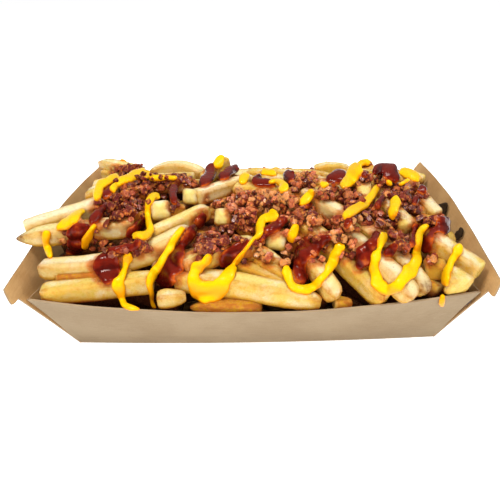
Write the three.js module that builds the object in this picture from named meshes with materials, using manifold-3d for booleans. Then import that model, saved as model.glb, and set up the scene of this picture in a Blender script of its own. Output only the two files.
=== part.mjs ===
// Loaded fries: a folded kraft-card tray heaped with fries, bacon dice, cheese sauce and barbecue sauce.
// Millimetres, +Z up, +X along the tray, -Y towards the eater. The origin is the middle of the tray's base.
import * as THREE from "three";
import { mergeVertices } from "three/addons/utils/BufferGeometryUtils.js";
import Module from "manifold-3d";

const wasm = await Module();
wasm.setup();

// Tray: one folded blank of card, wider at the rim than at the base, its long sides bowed out by the heap.
const CARD = 0.8;
const CLEARANCE = 0.4; // between the food and the card
const BASE_HALF_LENGTH = 94.7;
const BASE_HALF_WIDTH = 56.2;
const BASE_BOW = 2.5;
const SIDE_RIM_HALF_LENGTH = 104.4;
const SIDE_RIM_HALF_WIDTH = 74.7;
const SIDE_RIM_HEIGHT = 40.8;
const SIDE_RIM_BOW = 7.6;
const SIDE_RIM_SAG = 4.4;
const END_RIM_HALF_LENGTH = 114;
const END_RIM_HALF_WIDTH = 75.5;
const END_RIM_HEIGHT = 47.7;
const END_RIM_BOW = 1.5;
const END_RIM_RISE = 2.8;
const EAR_FOOT_SHARE = 0.835; // how far up the end panel's side edge its corner ear starts
const EAR_TOP = 5.5; // width of the ear at the rim, from its root
const EAR_SPREAD = 6.6; // how much wider it is towards its foot
const EAR_ROOT = 0.03; // the ear overlaps the panel by this share of the panel's width
const EAR_DIRECTION = new THREE.Vector3(-0.08, -1, 0);
const EAR_STEPS = 5;
const FLAP_TOP_SHARE = 0.77; // the glued corner flap stops below the rim of the end panel
const FLAP_TOP_FALL = 0.09;
const FLAP_LENGTH = 26;
const FLAP_START = 0.015;
const FLAP_GAP = 0.1;
const FLAP_STEPS = 3;
const SIDE_STEPS = 12;
const END_STEPS = 6;
const RISE_STEPS = 2;

// Heap: highest along its middle, falling away towards both long sides, lower and flatter at its ends.
const HEAP_CREST = 61;
const HEAP_CREST_Y = 5;
const HEAP_FRONT_FALL = 25; // drop from the crest to the front rim
const HEAP_FRONT_RUN = 85;
const HEAP_END_DROP = 6;
const HEAP_END_FLATTER = 11; // how much less the front falls at the ends
const HEAP_END_RUN = 110;

// Core: the packed mass of fries below the ones that show.
const CORE_FLOOR = CARD + CLEARANCE;
const CORE_SHOULDER = 31;
const CORE_INSET = 3;
const CORE_DEPTH = 4; // below the heap's top surface
const CORE_SIDES = 16;
const CORE_RINGS = 3;
const CORE_EDGE_SHARE = 0.96; // where the top of the core turns down to its shoulder
const CORE_SQUARENESS = 0.36; // power of the sine and cosine: 1 is an ellipse, 0 a rectangle

// Fries.
const FRY_END_SHARE = 0.8; // section at the very end, against the middle
const FRY_END_LENGTH = 1.6;
const FRY_POINT_SHARE = 0.3;
const FRY_POINT_LENGTH = 14;
const FRY_UNEVEN = 0.06;
const FILL_COUNT = 36;
const FILL_TRIES = 3000;
const FILL_SIDE_MIN = 7.6;
const FILL_SIDE_MAX = 9.6;
const FILL_LENGTH_MIN = 40;
const FILL_LENGTH_MAX = 68;
const FILL_TURN_LEFT = 20; // mean turn from the tray's length at its left end, in degrees
const FILL_TURN_RIGHT = -45;
const FILL_TURN_SPREAD = 30;
const FILL_ROLL_SPREAD = 25;
const FILL_SINK = 4;
const FILL_LIFT_SPREAD = 1;
const FILL_SPACE = 7.5; // plan distance within which two fries overlap
const FILL_SAMPLES = 7; // places along a fill fry that are tested for overlap
const FILL_OVERLAPS = 3; // of which this many may overlap
const FILL_WALL_GAP = 2;

// Toppings: bacon dice in three drifts and a thin scatter, and strands of sauce.
const DICE_COUNT = 44;
const DICE_SIZE_MIN = 2.8;
const DICE_SIZE_MAX = 5.4;
const DICE_UNEVEN = 0.16;
const DICE_SINK = 0.2; // share of its size that a die sits into what it lies on
const DICE_DRIFTS = [
  { share: 0.5, x: 6, y: -6, spreadX: 46, spreadY: 40 },
  { share: 0.22, x: -70, y: 4, spreadX: 30, spreadY: 34 },
  { share: 0.18, x: 72, y: -6, spreadX: 30, spreadY: 34 },
  { share: 0.1, x: 0, y: 26, spreadX: 90, spreadY: 36 },
];
const CHEESE_THICKNESS = 4.2;
const BARBECUE_THICKNESS = 3.6;
const SAUCE_STEP = 9;
const SAUCE_SECTION = [
  [1, 0],
  [0, 1],
  [-1, 0],
  [0, -1],
];
const SAUCE_LIFT = 0.15; // share of its thickness that the middle of a strand lies above the fries
const SAUCE_END_SHARE = 0.55;
const SAUCE_SAG = 2.5; // how far a strand dips between two fries
const DROP_HEIGHT = 100;

const SEED = 4701;

// A short repeatable random sequence.
function randomSource(seed) {
  let state = seed;
  return () => {
    state = (state * 1664525 + 1013904223) % 4294967296;
    return state / 4294967296;
  };
}

// A closed solid from points and triangles; a shape listed inside out is turned round.
function solid(points, triangles) {
  const geometry = new THREE.BufferGeometry().setFromPoints(points);
  geometry.setIndex(triangles.flat());
  geometry.deleteAttribute("normal");
  const merged = mergeVertices(geometry, 1e-4);
  const build = (triVerts) =>
    new wasm.Manifold(
      new wasm.Mesh({ numProp: 3, vertProperties: merged.attributes.position.array, triVerts }),
    );
  const triVerts = new Uint32Array(merged.index.array);
  const made = build(triVerts);
  return made.volume() > 0 ? made : build(triVerts.reverse());
}

function geometryOf(body) {
  const mesh = body.getMesh();
  const geometry = new THREE.BufferGeometry();
  geometry.setAttribute("position", new THREE.BufferAttribute(mesh.vertProperties, 3));
  geometry.setIndex(new THREE.BufferAttribute(mesh.triVerts, 1));
  return geometry;
}

function joined(bodies) {
  return bodies.reduce((whole, body) => whole.add(body));
}

// The largest of a solid's separate bodies, with loose scraps left out.
function largestBody(body) {
  return body.decompose().sort((a, b) => b.volume() - a.volume())[0];
}

// A sheet from a grid of points, thickened from one offset to another along the grid's own normal.
function sheet(pointAt, rows, columns, from, to) {
  const delta = 1e-3;
  const points = [];
  const normalAt = (u, v) => {
    const alongU = pointAt(u + delta, v).sub(pointAt(u - delta, v));
    const alongV = pointAt(u, v + delta).sub(pointAt(u, v - delta));
    return alongU.cross(alongV).normalize();
  };
  for (const offset of [from, to]) {
    for (let row = 0; row <= rows; row++) {
      for (let column = 0; column <= columns; column++) {
        const u = column / columns;
        const v = row / rows;
        points.push(pointAt(u, v).addScaledVector(normalAt(u, v), offset));
      }
    }
  }
  const width = columns + 1;
  const layer = (rows + 1) * width;
  const triangles = [];
  const quad = (a, b, c, d) => triangles.push([a, b, c], [a, c, d]);
  for (let row = 0; row < rows; row++) {
    for (let column = 0; column < columns; column++) {
      const a = row * width + column;
      quad(a, a + width, a + width + 1, a + 1);
      quad(layer + a, layer + a + 1, layer + a + width + 1, layer + a + width);
    }
  }
  for (let column = 0; column < columns; column++) {
    const low = column;
    const high = rows * width + column;
    quad(low, low + 1, layer + low + 1, layer + low);
    quad(high, layer + high, layer + high + 1, high + 1);
  }
  for (let row = 0; row < rows; row++) {
    const left = row * width;
    const right = left + columns;
    quad(left, layer + left, layer + left + width, left + width);
    quad(right, right + width, layer + right + width, layer + right);
  }
  return solid(points, triangles);
}

// Points of the front side panel: u runs from its left corner to its right, v from the base to the rim.
function sidePoint(u, v) {
  const across = 2 * u - 1;
  const bulge = 1 - across * across;
  const base = new THREE.Vector3(BASE_HALF_LENGTH * across, -BASE_HALF_WIDTH - BASE_BOW * bulge, 0);
  const rim = new THREE.Vector3(
    SIDE_RIM_HALF_LENGTH * across,
    -SIDE_RIM_HALF_WIDTH - SIDE_RIM_BOW * bulge,
    SIDE_RIM_HEIGHT - SIDE_RIM_SAG * bulge,
  );
  return base.lerp(rim, v);
}

// Points of the right end panel: u runs from its front edge to its back edge, v from the base to the rim.
function endPoint(u, v) {
  const across = 2 * u - 1;
  const bulge = 1 - across * across;
  const base = new THREE.Vector3(BASE_HALF_LENGTH, BASE_HALF_WIDTH * across, 0);
  const rim = new THREE.Vector3(
    END_RIM_HALF_LENGTH + END_RIM_BOW * bulge,
    END_RIM_HALF_WIDTH * across,
    END_RIM_HEIGHT + END_RIM_RISE * bulge,
  );
  return base.lerp(rim, v);
}

// The ear at the front top corner of the end panel: a small rounded lobe past the panel's side edge.
function earPoint(u, v) {
  const rise = Math.pow(THREE.MathUtils.clamp(v, 0, 1), 1.5);
  const edge = endPoint(EAR_ROOT, EAR_FOOT_SHARE + (1 - EAR_FOOT_SHARE) * rise);
  const foot = Math.sqrt(1 - 0.985 * Math.pow(1 - rise, 13));
  const lobe = (EAR_TOP + EAR_SPREAD * Math.pow(1 - rise, 0.8)) * foot;
  return edge.addScaledVector(EAR_DIRECTION, (1 - u) * lobe);
}

// A point just inside the right end panel, u along its length and v up its face.
function endInnerPoint(u, v) {
  return endPoint(u, v).add(new THREE.Vector3(-CARD - FLAP_GAP, 0, 0));
}

// The gusset: the corner of the side panel's flap, between that panel's end and the end panel.
function gussetPoint(u, v) {
  return sidePoint(1, v).lerp(endInnerPoint(FLAP_START, v * FLAP_TOP_SHARE), u);
}

// The rest of the flap, glued to the inside of the end panel, its free edge running down into the tray.
function flapPoint(u, v) {
  const topShare = FLAP_TOP_SHARE - FLAP_TOP_FALL * u;
  const reach = (u * FLAP_LENGTH * (0.4 + 0.6 * v)) / (2 * END_RIM_HALF_WIDTH);
  return endInnerPoint(FLAP_START + reach, v * topShare);
}

function mirrored(body, signX, signY) {
  const matrix = new THREE.Matrix4().makeScale(signX, signY, 1);
  const geometry = geometryOf(body).applyMatrix4(matrix);
  const triVerts = new Uint32Array(geometry.index.array);
  if (signX * signY < 0) triVerts.reverse();
  return new wasm.Manifold(
    new wasm.Mesh({ numProp: 3, vertProperties: geometry.attributes.position.array, triVerts }),
  );
}

// The base: a flat sheet whose long edges bow out with the side panels.
function basePoint(u, v) {
  const across = 2 * u - 1;
  const halfWidth = BASE_HALF_WIDTH + BASE_BOW * (1 - across * across);
  return new THREE.Vector3(BASE_HALF_LENGTH * across, halfWidth * (2 * v - 1), 0);
}

// All the panels of the tray, each thickened from one offset to another: inwards is positive.
function trayPanels(from, to) {
  const side = sheet(sidePoint, RISE_STEPS, SIDE_STEPS, -to, -from);
  const end = sheet(endPoint, RISE_STEPS, END_STEPS, -to, -from);
  const corner = [
    sheet(earPoint, EAR_STEPS, 1, -to, -from),
    sheet(gussetPoint, FLAP_STEPS, 1, -to, -from),
    sheet(flapPoint, FLAP_STEPS, 1, -to, -from),
  ];
  const panels = [sheet(basePoint, 1, SIDE_STEPS, from, to)];
  panels.push(side, mirrored(side, 1, -1), end, mirrored(end, -1, 1));
  for (const signX of [1, -1]) {
    for (const signY of [1, -1]) {
      panels.push(...corner.map((piece) => mirrored(piece, signX, signY)));
    }
  }
  return panels;
}

// Height of the heap's top surface over a point of the base.
function heapHeight(x, y) {
  const run = (y - HEAP_CREST_Y) / HEAP_FRONT_RUN;
  const out = Math.abs(x) / HEAP_END_RUN;
  const fall = HEAP_FRONT_FALL - HEAP_END_FLATTER * Math.pow(out, 2);
  return HEAP_CREST - HEAP_END_DROP * Math.pow(out, 3) - fall * run * run;
}

// Half length and half width of the space inside the tray at a height.
function roomAt(height) {
  const endShare = height / END_RIM_HEIGHT;
  const sideShare = height / SIDE_RIM_HEIGHT;
  return {
    halfLength: BASE_HALF_LENGTH + (END_RIM_HALF_LENGTH - BASE_HALF_LENGTH) * endShare,
    halfWidth: BASE_HALF_WIDTH + (SIDE_RIM_HALF_WIDTH - BASE_HALF_WIDTH) * sideShare,
  };
}

// The core: rings of a rounded rectangle up the walls, then over the top to its middle.
function core() {
  const points = [];
  const triangles = [];
  const power = (value) => Math.sign(value) * Math.pow(Math.abs(value), CORE_SQUARENESS);
  const ring = (halfLength, halfWidth, heightAt) => {
    for (let side = 0; side < CORE_SIDES; side++) {
      const angle = (2 * Math.PI * (side + 0.5)) / CORE_SIDES;
      const x = halfLength * power(Math.cos(angle));
      const y = halfWidth * power(Math.sin(angle));
      points.push(new THREE.Vector3(x, y, heightAt(x, y)));
    }
  };
  const floor = roomAt(CORE_FLOOR);
  const shoulder = roomAt(CORE_SHOULDER);
  const halfLength = shoulder.halfLength - CORE_INSET;
  const halfWidth = shoulder.halfWidth - CORE_INSET;
  ring(floor.halfLength - CORE_INSET, floor.halfWidth - CORE_INSET, () => CORE_FLOOR);
  ring(halfLength, halfWidth, () => CORE_SHOULDER);
  for (let level = 0; level < CORE_RINGS; level++) {
    const share = CORE_EDGE_SHARE * (1 - level / CORE_RINGS);
    ring(halfLength * share, halfWidth * share, (x, y) => heapHeight(x, y) - CORE_DEPTH);
  }
  const rings = CORE_RINGS + 2;
  const top = points.length;
  points.push(new THREE.Vector3(0, 0, heapHeight(0, 0) - CORE_DEPTH), new THREE.Vector3(0, 0, CORE_FLOOR));
  for (let side = 0; side < CORE_SIDES; side++) {
    const next = (side + 1) % CORE_SIDES;
    for (let level = 0; level < rings - 1; level++) {
      const low = level * CORE_SIDES;
      const high = low + CORE_SIDES;
      triangles.push([low + side, low + next, high + next], [low + side, high + next, high + side]);
    }
    const last = (rings - 1) * CORE_SIDES;
    triangles.push([last + side, last + next, top], [next, side, top + 1]);
  }
  return solid(points, triangles);
}

// A swept body: rings of one section along a path, closed by a flat face at each end.
function swept(stations, section) {
  const points = [];
  const triangles = [];
  const sides = section.length;
  stations.forEach(({ at, across, up, width, height }, index) => {
    for (const [a, b] of section) {
      points.push(at.clone().addScaledVector(across, a * width).addScaledVector(up, b * height));
    }
    if (index === 0) return;
    const low = (index - 1) * sides;
    for (let side = 0; side < sides; side++) {
      const next = (side + 1) % sides;
      const [a, b, c, d] = [low + side, low + next, low + sides + next, low + sides + side];
      triangles.push([a, b, c], [a, c, d]);
    }
  });
  const last = (stations.length - 1) * sides;
  for (let side = 1; side < sides - 1; side++) {
    triangles.push([0, side + 1, side], [last, last + side, last + side + 1]);
  }
  return solid(points, triangles);
}

const FRY_SECTION = [
  [1, -1],
  [1, 1],
  [-1, 1],
  [-1, -1],
];

// A fry between its ends: bow lifts its middle, sway moves it sideways, and its first end may be a point.
function fry({ from, to, side, bow = 0, sway = 0, roll = 0, pointed = false }, random) {
  const start = new THREE.Vector3(...from);
  const end = new THREE.Vector3(...to);
  const length = start.distanceTo(end);
  const along = end.clone().sub(start).normalize();
  const level = new THREE.Vector3().crossVectors(along, new THREE.Vector3(0, 0, 1)).normalize();
  const above = new THREE.Vector3().crossVectors(level, along);
  const turn = THREE.MathUtils.degToRad(roll);
  const across = level.clone().multiplyScalar(Math.cos(turn)).addScaledVector(above, Math.sin(turn));
  const up = above.clone().multiplyScalar(Math.cos(turn)).addScaledVector(level, -Math.sin(turn));
  const tip = FRY_END_LENGTH / length;
  const point = FRY_POINT_LENGTH / length;
  const middle = bow || sway ? [0.36, 0.66] : [];
  const shares = [0, pointed ? point : tip, ...middle, 1 - tip, 1];
  const stations = shares.map((share, index) => {
    const arch = 4 * share * (1 - share);
    const uneven = 1 + FRY_UNEVEN * (2 * random() - 1);
    const isEnd = index === 0 || index === shares.length - 1;
    const endShare = pointed && index === 0 ? FRY_POINT_SHARE : FRY_END_SHARE;
    const half = (side / 2) * uneven * (isEnd ? endShare : 1);
    return {
      at: start
        .clone()
        .lerp(end, share)
        .addScaledVector(above, bow * arch)
        .addScaledVector(level, -sway * arch),
      across,
      up,
      width: half,
      height: half * (1 + FRY_UNEVEN * (2 * random() - 1)),
    };
  });
  return swept(stations, FRY_SECTION);
}

// The fries that show most, each set where it lies on the heap by the middles of its two ends.
const PLACED_FRIES = [
  // front left, along the rim
  { from: [-101, -69, 41], to: [-49, -64, 44], side: 8.8 },
  { from: [-104, -58, 48], to: [-32, -38, 57], side: 9.5, bow: -3, sway: -8 },
  { from: [-95, -62, 44], to: [-60, -61, 45], side: 7 },
  { from: [-45.5, -75.5, 40], to: [-32, -73, 40], side: 7.8 },
  // front middle
  { from: [-38, -64, 44], to: [31, -77, 38], side: 10.2, bow: 2 },
  { from: [-30, -75, 35], to: [4, -76, 35], side: 8, pointed: true },
  { from: [-34, -62, 50], to: [1, -50, 54], side: 9.6, bow: 1 },
  { from: [-13, -53, 45], to: [16, -68, 42], side: 8 },
  { from: [15, -60, 49], to: [-4, -48, 50], side: 8.4, pointed: true },
  { from: [1, -52, 46], to: [22, -70, 43], side: 8.6 },
  // over the left end panel
  { from: [-119, -34, 55.5], to: [-82, -13, 60], side: 9.8, roll: 8 },
  { from: [-120, -43, 56], to: [-62, -33, 57], side: 9.8, pointed: true },
  { from: [-102.5, 13, 52], to: [-74, 22, 57], side: 9 },
  // cut ends that face the eater
  { from: [-51, -21, 60.5], to: [-66, 12, 59], side: 10.8 },
  { from: [-38, -6, 61], to: [-29, 34, 57], side: 9 },
  { from: [-17, -29, 59], to: [-8, 8, 57], side: 9.6 },
  { from: [10, -48, 55], to: [22, -12, 57], side: 10.4 },
  { from: [-52, -39, 54], to: [-26, -15, 57.5], side: 8 },
  // back
  { from: [-110, 73, 52.5], to: [-78, 54, 51.5], side: 9 },
  { from: [-71, 60, 49], to: [-38, 52, 50], side: 9, bow: 5 },
  { from: [-35, -3, 58.5], to: [-3, 27, 57], side: 9 },
  { from: [-34, 34, 54], to: [-21, 53, 60], side: 8 },
  { from: [-14, 68, 42], to: [24, 70, 40], side: 9 },
  { from: [34, 70, 42], to: [62, 70, 42], side: 9 },
  { from: [37, 57, 50], to: [60, 56, 50], side: 8, bow: 2 },
  { from: [94, 56, 49], to: [108, 46, 46], side: 8 },
  // right, pointing down towards the eater
  { from: [27, -3, 60.5], to: [62, -46, 54], side: 9.6 },
  { from: [58, -40, 54], to: [80, -76, 41], side: 8.8, bow: 3 },
  { from: [43, -40, 55], to: [72, -83, 43.2], side: 9.5, bow: 3 },
  { from: [36, -46, 51], to: [61, -78, 39], side: 10, bow: 1 },
  { from: [26, -54, 51], to: [38, -78, 41], side: 9 },
  { from: [37, -76, 36.5], to: [46, -75, 36], side: 6.6 },
  { from: [69, -13, 59], to: [78, -39, 55], side: 9.8 },
  { from: [63, 14, 59], to: [61, -10, 57], side: 9 },
  // right corner
  { from: [88, -48, 54], to: [107, -67, 47], side: 9.8 },
  { from: [93, -65, 50], to: [95.5, -76.5, 44.5], side: 12 },
  { from: [82, -61, 46], to: [93, -62, 46], side: 9 },
  { from: [93.5, -2.5, 56], to: [98.5, -19.5, 53.5], side: 8.8 },
];

// Plan distance from a point to the line between a placed fry's ends.
function planDistance(x, y, { from, to }) {
  const runX = to[0] - from[0];
  const runY = to[1] - from[1];
  const share = ((x - from[0]) * runX + (y - from[1]) * runY) / (runX * runX + runY * runY);
  const held = THREE.MathUtils.clamp(share, 0, 1);
  return Math.hypot(x - from[0] - held * runX, y - from[1] - held * runY);
}

// Fries that fill the rest of the heap: dropped at random, and kept where they lie mostly on bare heap.
function fillFries(random) {
  const fries = [];
  const room = roomAt(SIDE_RIM_HEIGHT);
  const spread = () => 2 * random() - 1;
  for (let attempt = 0; attempt < FILL_TRIES && fries.length < FILL_COUNT; attempt++) {
    const side = THREE.MathUtils.lerp(FILL_SIDE_MIN, FILL_SIDE_MAX, random());
    const half = 0.5 * THREE.MathUtils.lerp(FILL_LENGTH_MIN, FILL_LENGTH_MAX, random());
    const limitX = room.halfLength - side / 2 - FILL_WALL_GAP;
    const limitY = room.halfWidth - side / 2 - FILL_WALL_GAP;
    const x = limitX * spread();
    const y = limitY * spread();
    const share = 0.5 + (0.5 * x) / limitX;
    const meanTurn = THREE.MathUtils.lerp(FILL_TURN_LEFT, FILL_TURN_RIGHT, share);
    const turn = THREE.MathUtils.degToRad(meanTurn + FILL_TURN_SPREAD * spread());
    const roll = FILL_ROLL_SPREAD * spread();
    const lift = FILL_LIFT_SPREAD * spread();
    const ends = [-half, half].map((reach) => {
      const endX = THREE.MathUtils.clamp(x + reach * Math.cos(turn), -limitX, limitX);
      const endY = THREE.MathUtils.clamp(y + reach * Math.sin(turn), -limitY, limitY);
      return [endX, endY, heapHeight(endX, endY) - FILL_SINK + lift];
    });
    let overlaps = 0;
    for (let sample = 0; sample < FILL_SAMPLES; sample++) {
      const along = (sample + 0.5) / FILL_SAMPLES;
      const sampleX = THREE.MathUtils.lerp(ends[0][0], ends[1][0], along);
      const sampleY = THREE.MathUtils.lerp(ends[0][1], ends[1][1], along);
      const near = (other) => planDistance(sampleX, sampleY, other) < FILL_SPACE;
      if (PLACED_FRIES.some(near) || fries.some(near)) overlaps++;
    }
    if (overlaps <= FILL_OVERLAPS) fries.push({ from: ends[0], to: ends[1], side, roll });
  }
  return fries;
}

// Sauce strands as seen from above: the route of each in x and y, and its width.
const CHEESE_STRANDS = [
  { width: 7, route: [[-110, -31], [-107, -42], [-101, -52]] },
  { width: 6, route: [[-83, -29], [-86, -46]] },
  { width: 7, route: [[-51, -12], [-57, -18], [-53, -32], [-62, -44]] },
  { width: 6, route: [[-60, -57], [-66, -67], [-62, -74], [-52, -77]] },
  { width: 6, route: [[-37, -40], [-42, -54], [-50, -64], [-47, -76]] },
  { width: 8, route: [[-24, -53], [-29, -66], [-19, -76], [-10, -63], [-2, -53]] },
  { width: 6, route: [[24, -36], [18, -48]] },
  { width: 7, route: [[14, -62], [17, -70], [24, -74], [33, -67], [41, -54], [45, -47]] },
  { width: 7, route: [[60, -57], [57, -67], [63, -75], [77, -63], [81, -52], [88, -37]] },
  { width: 6, route: [[50, -36], [57, -23], [66, -13], [71, 1]] },
  { width: 6, route: [[77, -13], [72, -29]] },
  { width: 5, route: [[103, -49], [96, -59], [91, -71]] },
  { width: 7, route: [[62, 40], [56, 16], [48, -7]] },
  { width: 7, route: [[92, 52], [100, 44]] },
  { width: 6, route: [[-81, 24], [-89, 10], [-88, -10]] },
  { width: 6, route: [[-62, 40], [-78, 20], [-80, -3]] },
  { width: 8, route: [[-21, 54], [-27, 34]] },
];
const BARBECUE_STRANDS = [
  { width: 12, route: [[-73, -51], [-70, -66]] },
  { width: 9, route: [[-100, -35], [-87, -33]] },
  { width: 7, route: [[-57, -30], [-63, -41]] },
  { width: 10, route: [[-31, -40], [-36, -57], [-42, -70]] },
  { width: 9, route: [[-4, -48], [-13, -56], [-15, -64]] },
  { width: 6, route: [[-33, 40], [-30, 2]] },
  { width: 8, route: [[20, 31], [18, 3]] },
  { width: 8, route: [[53, 22], [38, 0]] },
  { width: 11, route: [[70, 20], [78, 40], [88, 16]] },
  { width: 8, route: [[29, -34], [26, -50], [23, -64]] },
  { width: 7, route: [[36, -44], [25, -59]] },
  { width: 10, route: [[63, -45], [54, -54], [50, -63]] },
  { width: 8, route: [[90, -38], [85, -54]] },
  { width: 8, route: [[94, -36], [101, -31]] },
];

// A function that gives the height of a solid's surface below a point, or nothing where it misses.
function surfaceOf(body) {
  const mesh = new THREE.Mesh(geometryOf(body), new THREE.MeshBasicMaterial());
  const ray = new THREE.Raycaster();
  const down = new THREE.Vector3(0, 0, -1);
  return (x, y) => {
    ray.set(new THREE.Vector3(x, y, DROP_HEIGHT), down);
    const hit = ray.intersectObject(mesh)[0];
    return hit ? hit.point.z : undefined;
  };
}

// A flat strand laid along a route over the fries, dipping a little between them, its ends drawn in.
function strand({ width, route }, thickness, surfaceAt) {
  const curve = new THREE.CatmullRomCurve3(route.map(([x, y]) => new THREE.Vector3(x, y, 0)));
  const steps = Math.max(2, Math.round(curve.getLength() / SAUCE_STEP));
  const points = curve.getSpacedPoints(steps);
  points.forEach((point) => (point.z = surfaceAt(point.x, point.y) ?? heapHeight(point.x, point.y)));
  const heights = points.map((point) => point.z);
  points.forEach((point, index) => {
    const before = heights[Math.max(0, index - 1)];
    const after = heights[Math.min(steps, index + 1)];
    point.z = Math.max(point.z, Math.min(before, after) - SAUCE_SAG) + thickness * SAUCE_LIFT;
  });
  const stations = points.map((at, index) => {
    const ahead = points[Math.min(steps, index + 1)].clone().sub(points[Math.max(0, index - 1)]);
    const across = new THREE.Vector3(ahead.y, -ahead.x, 0).normalize();
    const up = new THREE.Vector3().crossVectors(across, ahead).normalize();
    const share = index === 0 || index === steps ? SAUCE_END_SHARE : 1;
    return { at, across, up, width: (width / 2) * share, height: (thickness / 2) * share };
  });
  return swept(stations, SAUCE_SECTION);
}

// One uneven bacon die at a point.
function die(at, random) {
  const spread = () => 2 * random() - 1;
  const half = () => 0.5 * THREE.MathUtils.lerp(DICE_SIZE_MIN, DICE_SIZE_MAX, random());
  const [halfX, halfY, halfZ] = [half(), half(), half()];
  const turn = new THREE.Euler(0.5 * spread(), 0.5 * spread(), Math.PI * spread());
  const points = [];
  for (const cornerX of [-1, 1]) {
    for (const cornerY of [-1, 1]) {
      for (const cornerZ of [-1, 1]) {
        const corner = new THREE.Vector3(
          halfX * (cornerX + DICE_UNEVEN * spread()),
          halfY * (cornerY + DICE_UNEVEN * spread()),
          halfZ * (cornerZ + DICE_UNEVEN * spread()),
        );
        points.push(corner.applyEuler(turn).add(at));
      }
    }
  }
  const faces = [[0, 1, 3, 2], [4, 6, 7, 5], [0, 4, 5, 1], [2, 3, 7, 6], [0, 2, 6, 4], [1, 5, 7, 3]];
  return solid(points, faces.flatMap(([a, b, c, d]) => [[a, b, c], [a, c, d]]));
}

// Bacon dice, dropped on the heap: most in the drifts along its top, each sunk a little into what it lies on.
function baconDice(surfaceAt, random) {
  const dice = [];
  for (const { share, x, y, spreadX, spreadY } of DICE_DRIFTS) {
    for (let count = 0; count < Math.round(share * DICE_COUNT); count++) {
      const dieX = x + spreadX * (random() + random() - 1);
      const dieY = y + spreadY * (random() + random() - 1);
      const height = surfaceAt(dieX, dieY);
      if (height === undefined) continue;
      const lift = DICE_SIZE_MIN * (0.5 - DICE_SINK);
      dice.push(die(new THREE.Vector3(dieX, dieY, height + lift), random));
    }
  }
  return dice;
}

const paint = (color, roughness) => new THREE.MeshStandardMaterial({ color, roughness, metalness: 0 });

const root = new THREE.Group();
const tray = new THREE.Mesh(geometryOf(joined(trayPanels(0, CARD))), paint(0xbf9d72, 0.85));
tray.name = "tray";

const random = randomSource(SEED);
const fries = [...PLACED_FRIES, ...fillFries(random)].map((one) => fry(one, random));
const stack = joined([core(), ...fries]);
const surfaceAt = surfaceOf(stack);
const toppings = [
  ...BARBECUE_STRANDS.map((one) => strand(one, BARBECUE_THICKNESS, surfaceAt)),
  ...CHEESE_STRANDS.map((one) => strand(one, CHEESE_THICKNESS, surfaceAt)),
  ...baconDice(surfaceAt, random),
];
const tooClose = joined(trayPanels(-CLEARANCE, CARD + CLEARANCE));
const loaded = largestBody(joined([stack, ...toppings]).subtract(tooClose));

const heap = new THREE.Mesh(geometryOf(loaded), paint(0xe6c067, 0.6));
heap.name = "fries";
root.add(tray, heap);

export default root;
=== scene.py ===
"""Loaded fries in a folded kraft-card tray: the looks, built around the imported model.

Sizes in the classes are millimetres in the tray's own frame, and points of the picture where a name says so.
Meshes are made in metres: the origin is the middle of the tray's base, +X along it, -Y towards the eater.
"""

import logging
import math
from dataclasses import dataclass, field
from enum import Enum
from typing import Callable, Iterable, Optional, Sequence, Union

import bpy
import numpy as np
from mathutils import Matrix, Vector
from mathutils.bvhtree import BVHTree
from mathutils.kdtree import KDTree


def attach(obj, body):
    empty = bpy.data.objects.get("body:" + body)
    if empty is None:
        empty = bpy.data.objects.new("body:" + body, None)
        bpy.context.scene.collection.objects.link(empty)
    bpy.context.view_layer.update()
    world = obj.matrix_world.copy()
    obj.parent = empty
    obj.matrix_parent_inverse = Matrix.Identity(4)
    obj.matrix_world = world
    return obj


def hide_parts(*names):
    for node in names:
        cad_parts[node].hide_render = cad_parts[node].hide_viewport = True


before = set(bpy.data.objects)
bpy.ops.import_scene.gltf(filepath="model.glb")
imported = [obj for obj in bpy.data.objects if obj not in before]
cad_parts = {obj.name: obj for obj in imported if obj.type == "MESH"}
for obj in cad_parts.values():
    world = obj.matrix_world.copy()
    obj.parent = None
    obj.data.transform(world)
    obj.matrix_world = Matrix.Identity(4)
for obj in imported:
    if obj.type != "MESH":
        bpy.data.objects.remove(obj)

log = logging.getLogger("loaded_fries")

METRES = 0.001
BODY = "root"
SEED = 4701
LOOKS_SEED = 86907

Point = tuple[float, float, float]
Colour = tuple[float, float, float, float]
Wave = tuple[float, float, float, float]  # its pace along x and along y, where it starts, and its height
Socket = bpy.types.NodeSocket
Feed = Union[Socket, bpy.types.Material, float, bool, tuple, str]

WHITE: Colour = (1.0, 1.0, 1.0, 1.0)
ASKEW: Point = (0.31, 0.83, 0.47)  # along no face of anything here


# Colours and node trees


def paint(red: int, green: int, blue: int) -> Colour:
    """A colour as a shader takes it.

    Args:
        red: its red as a screen shows it, 0 to 255.
        green: its green.
        blue: its blue.

    Returns:
        The linear colour, opaque.
    """

    def linear(value: float) -> float:
        """One channel, made linear."""
        value /= 255
        return value / 12.92 if value <= 0.04045 else ((value + 0.055) / 1.055) ** 2.4

    return linear(red), linear(green), linear(blue), 1.0


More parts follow.
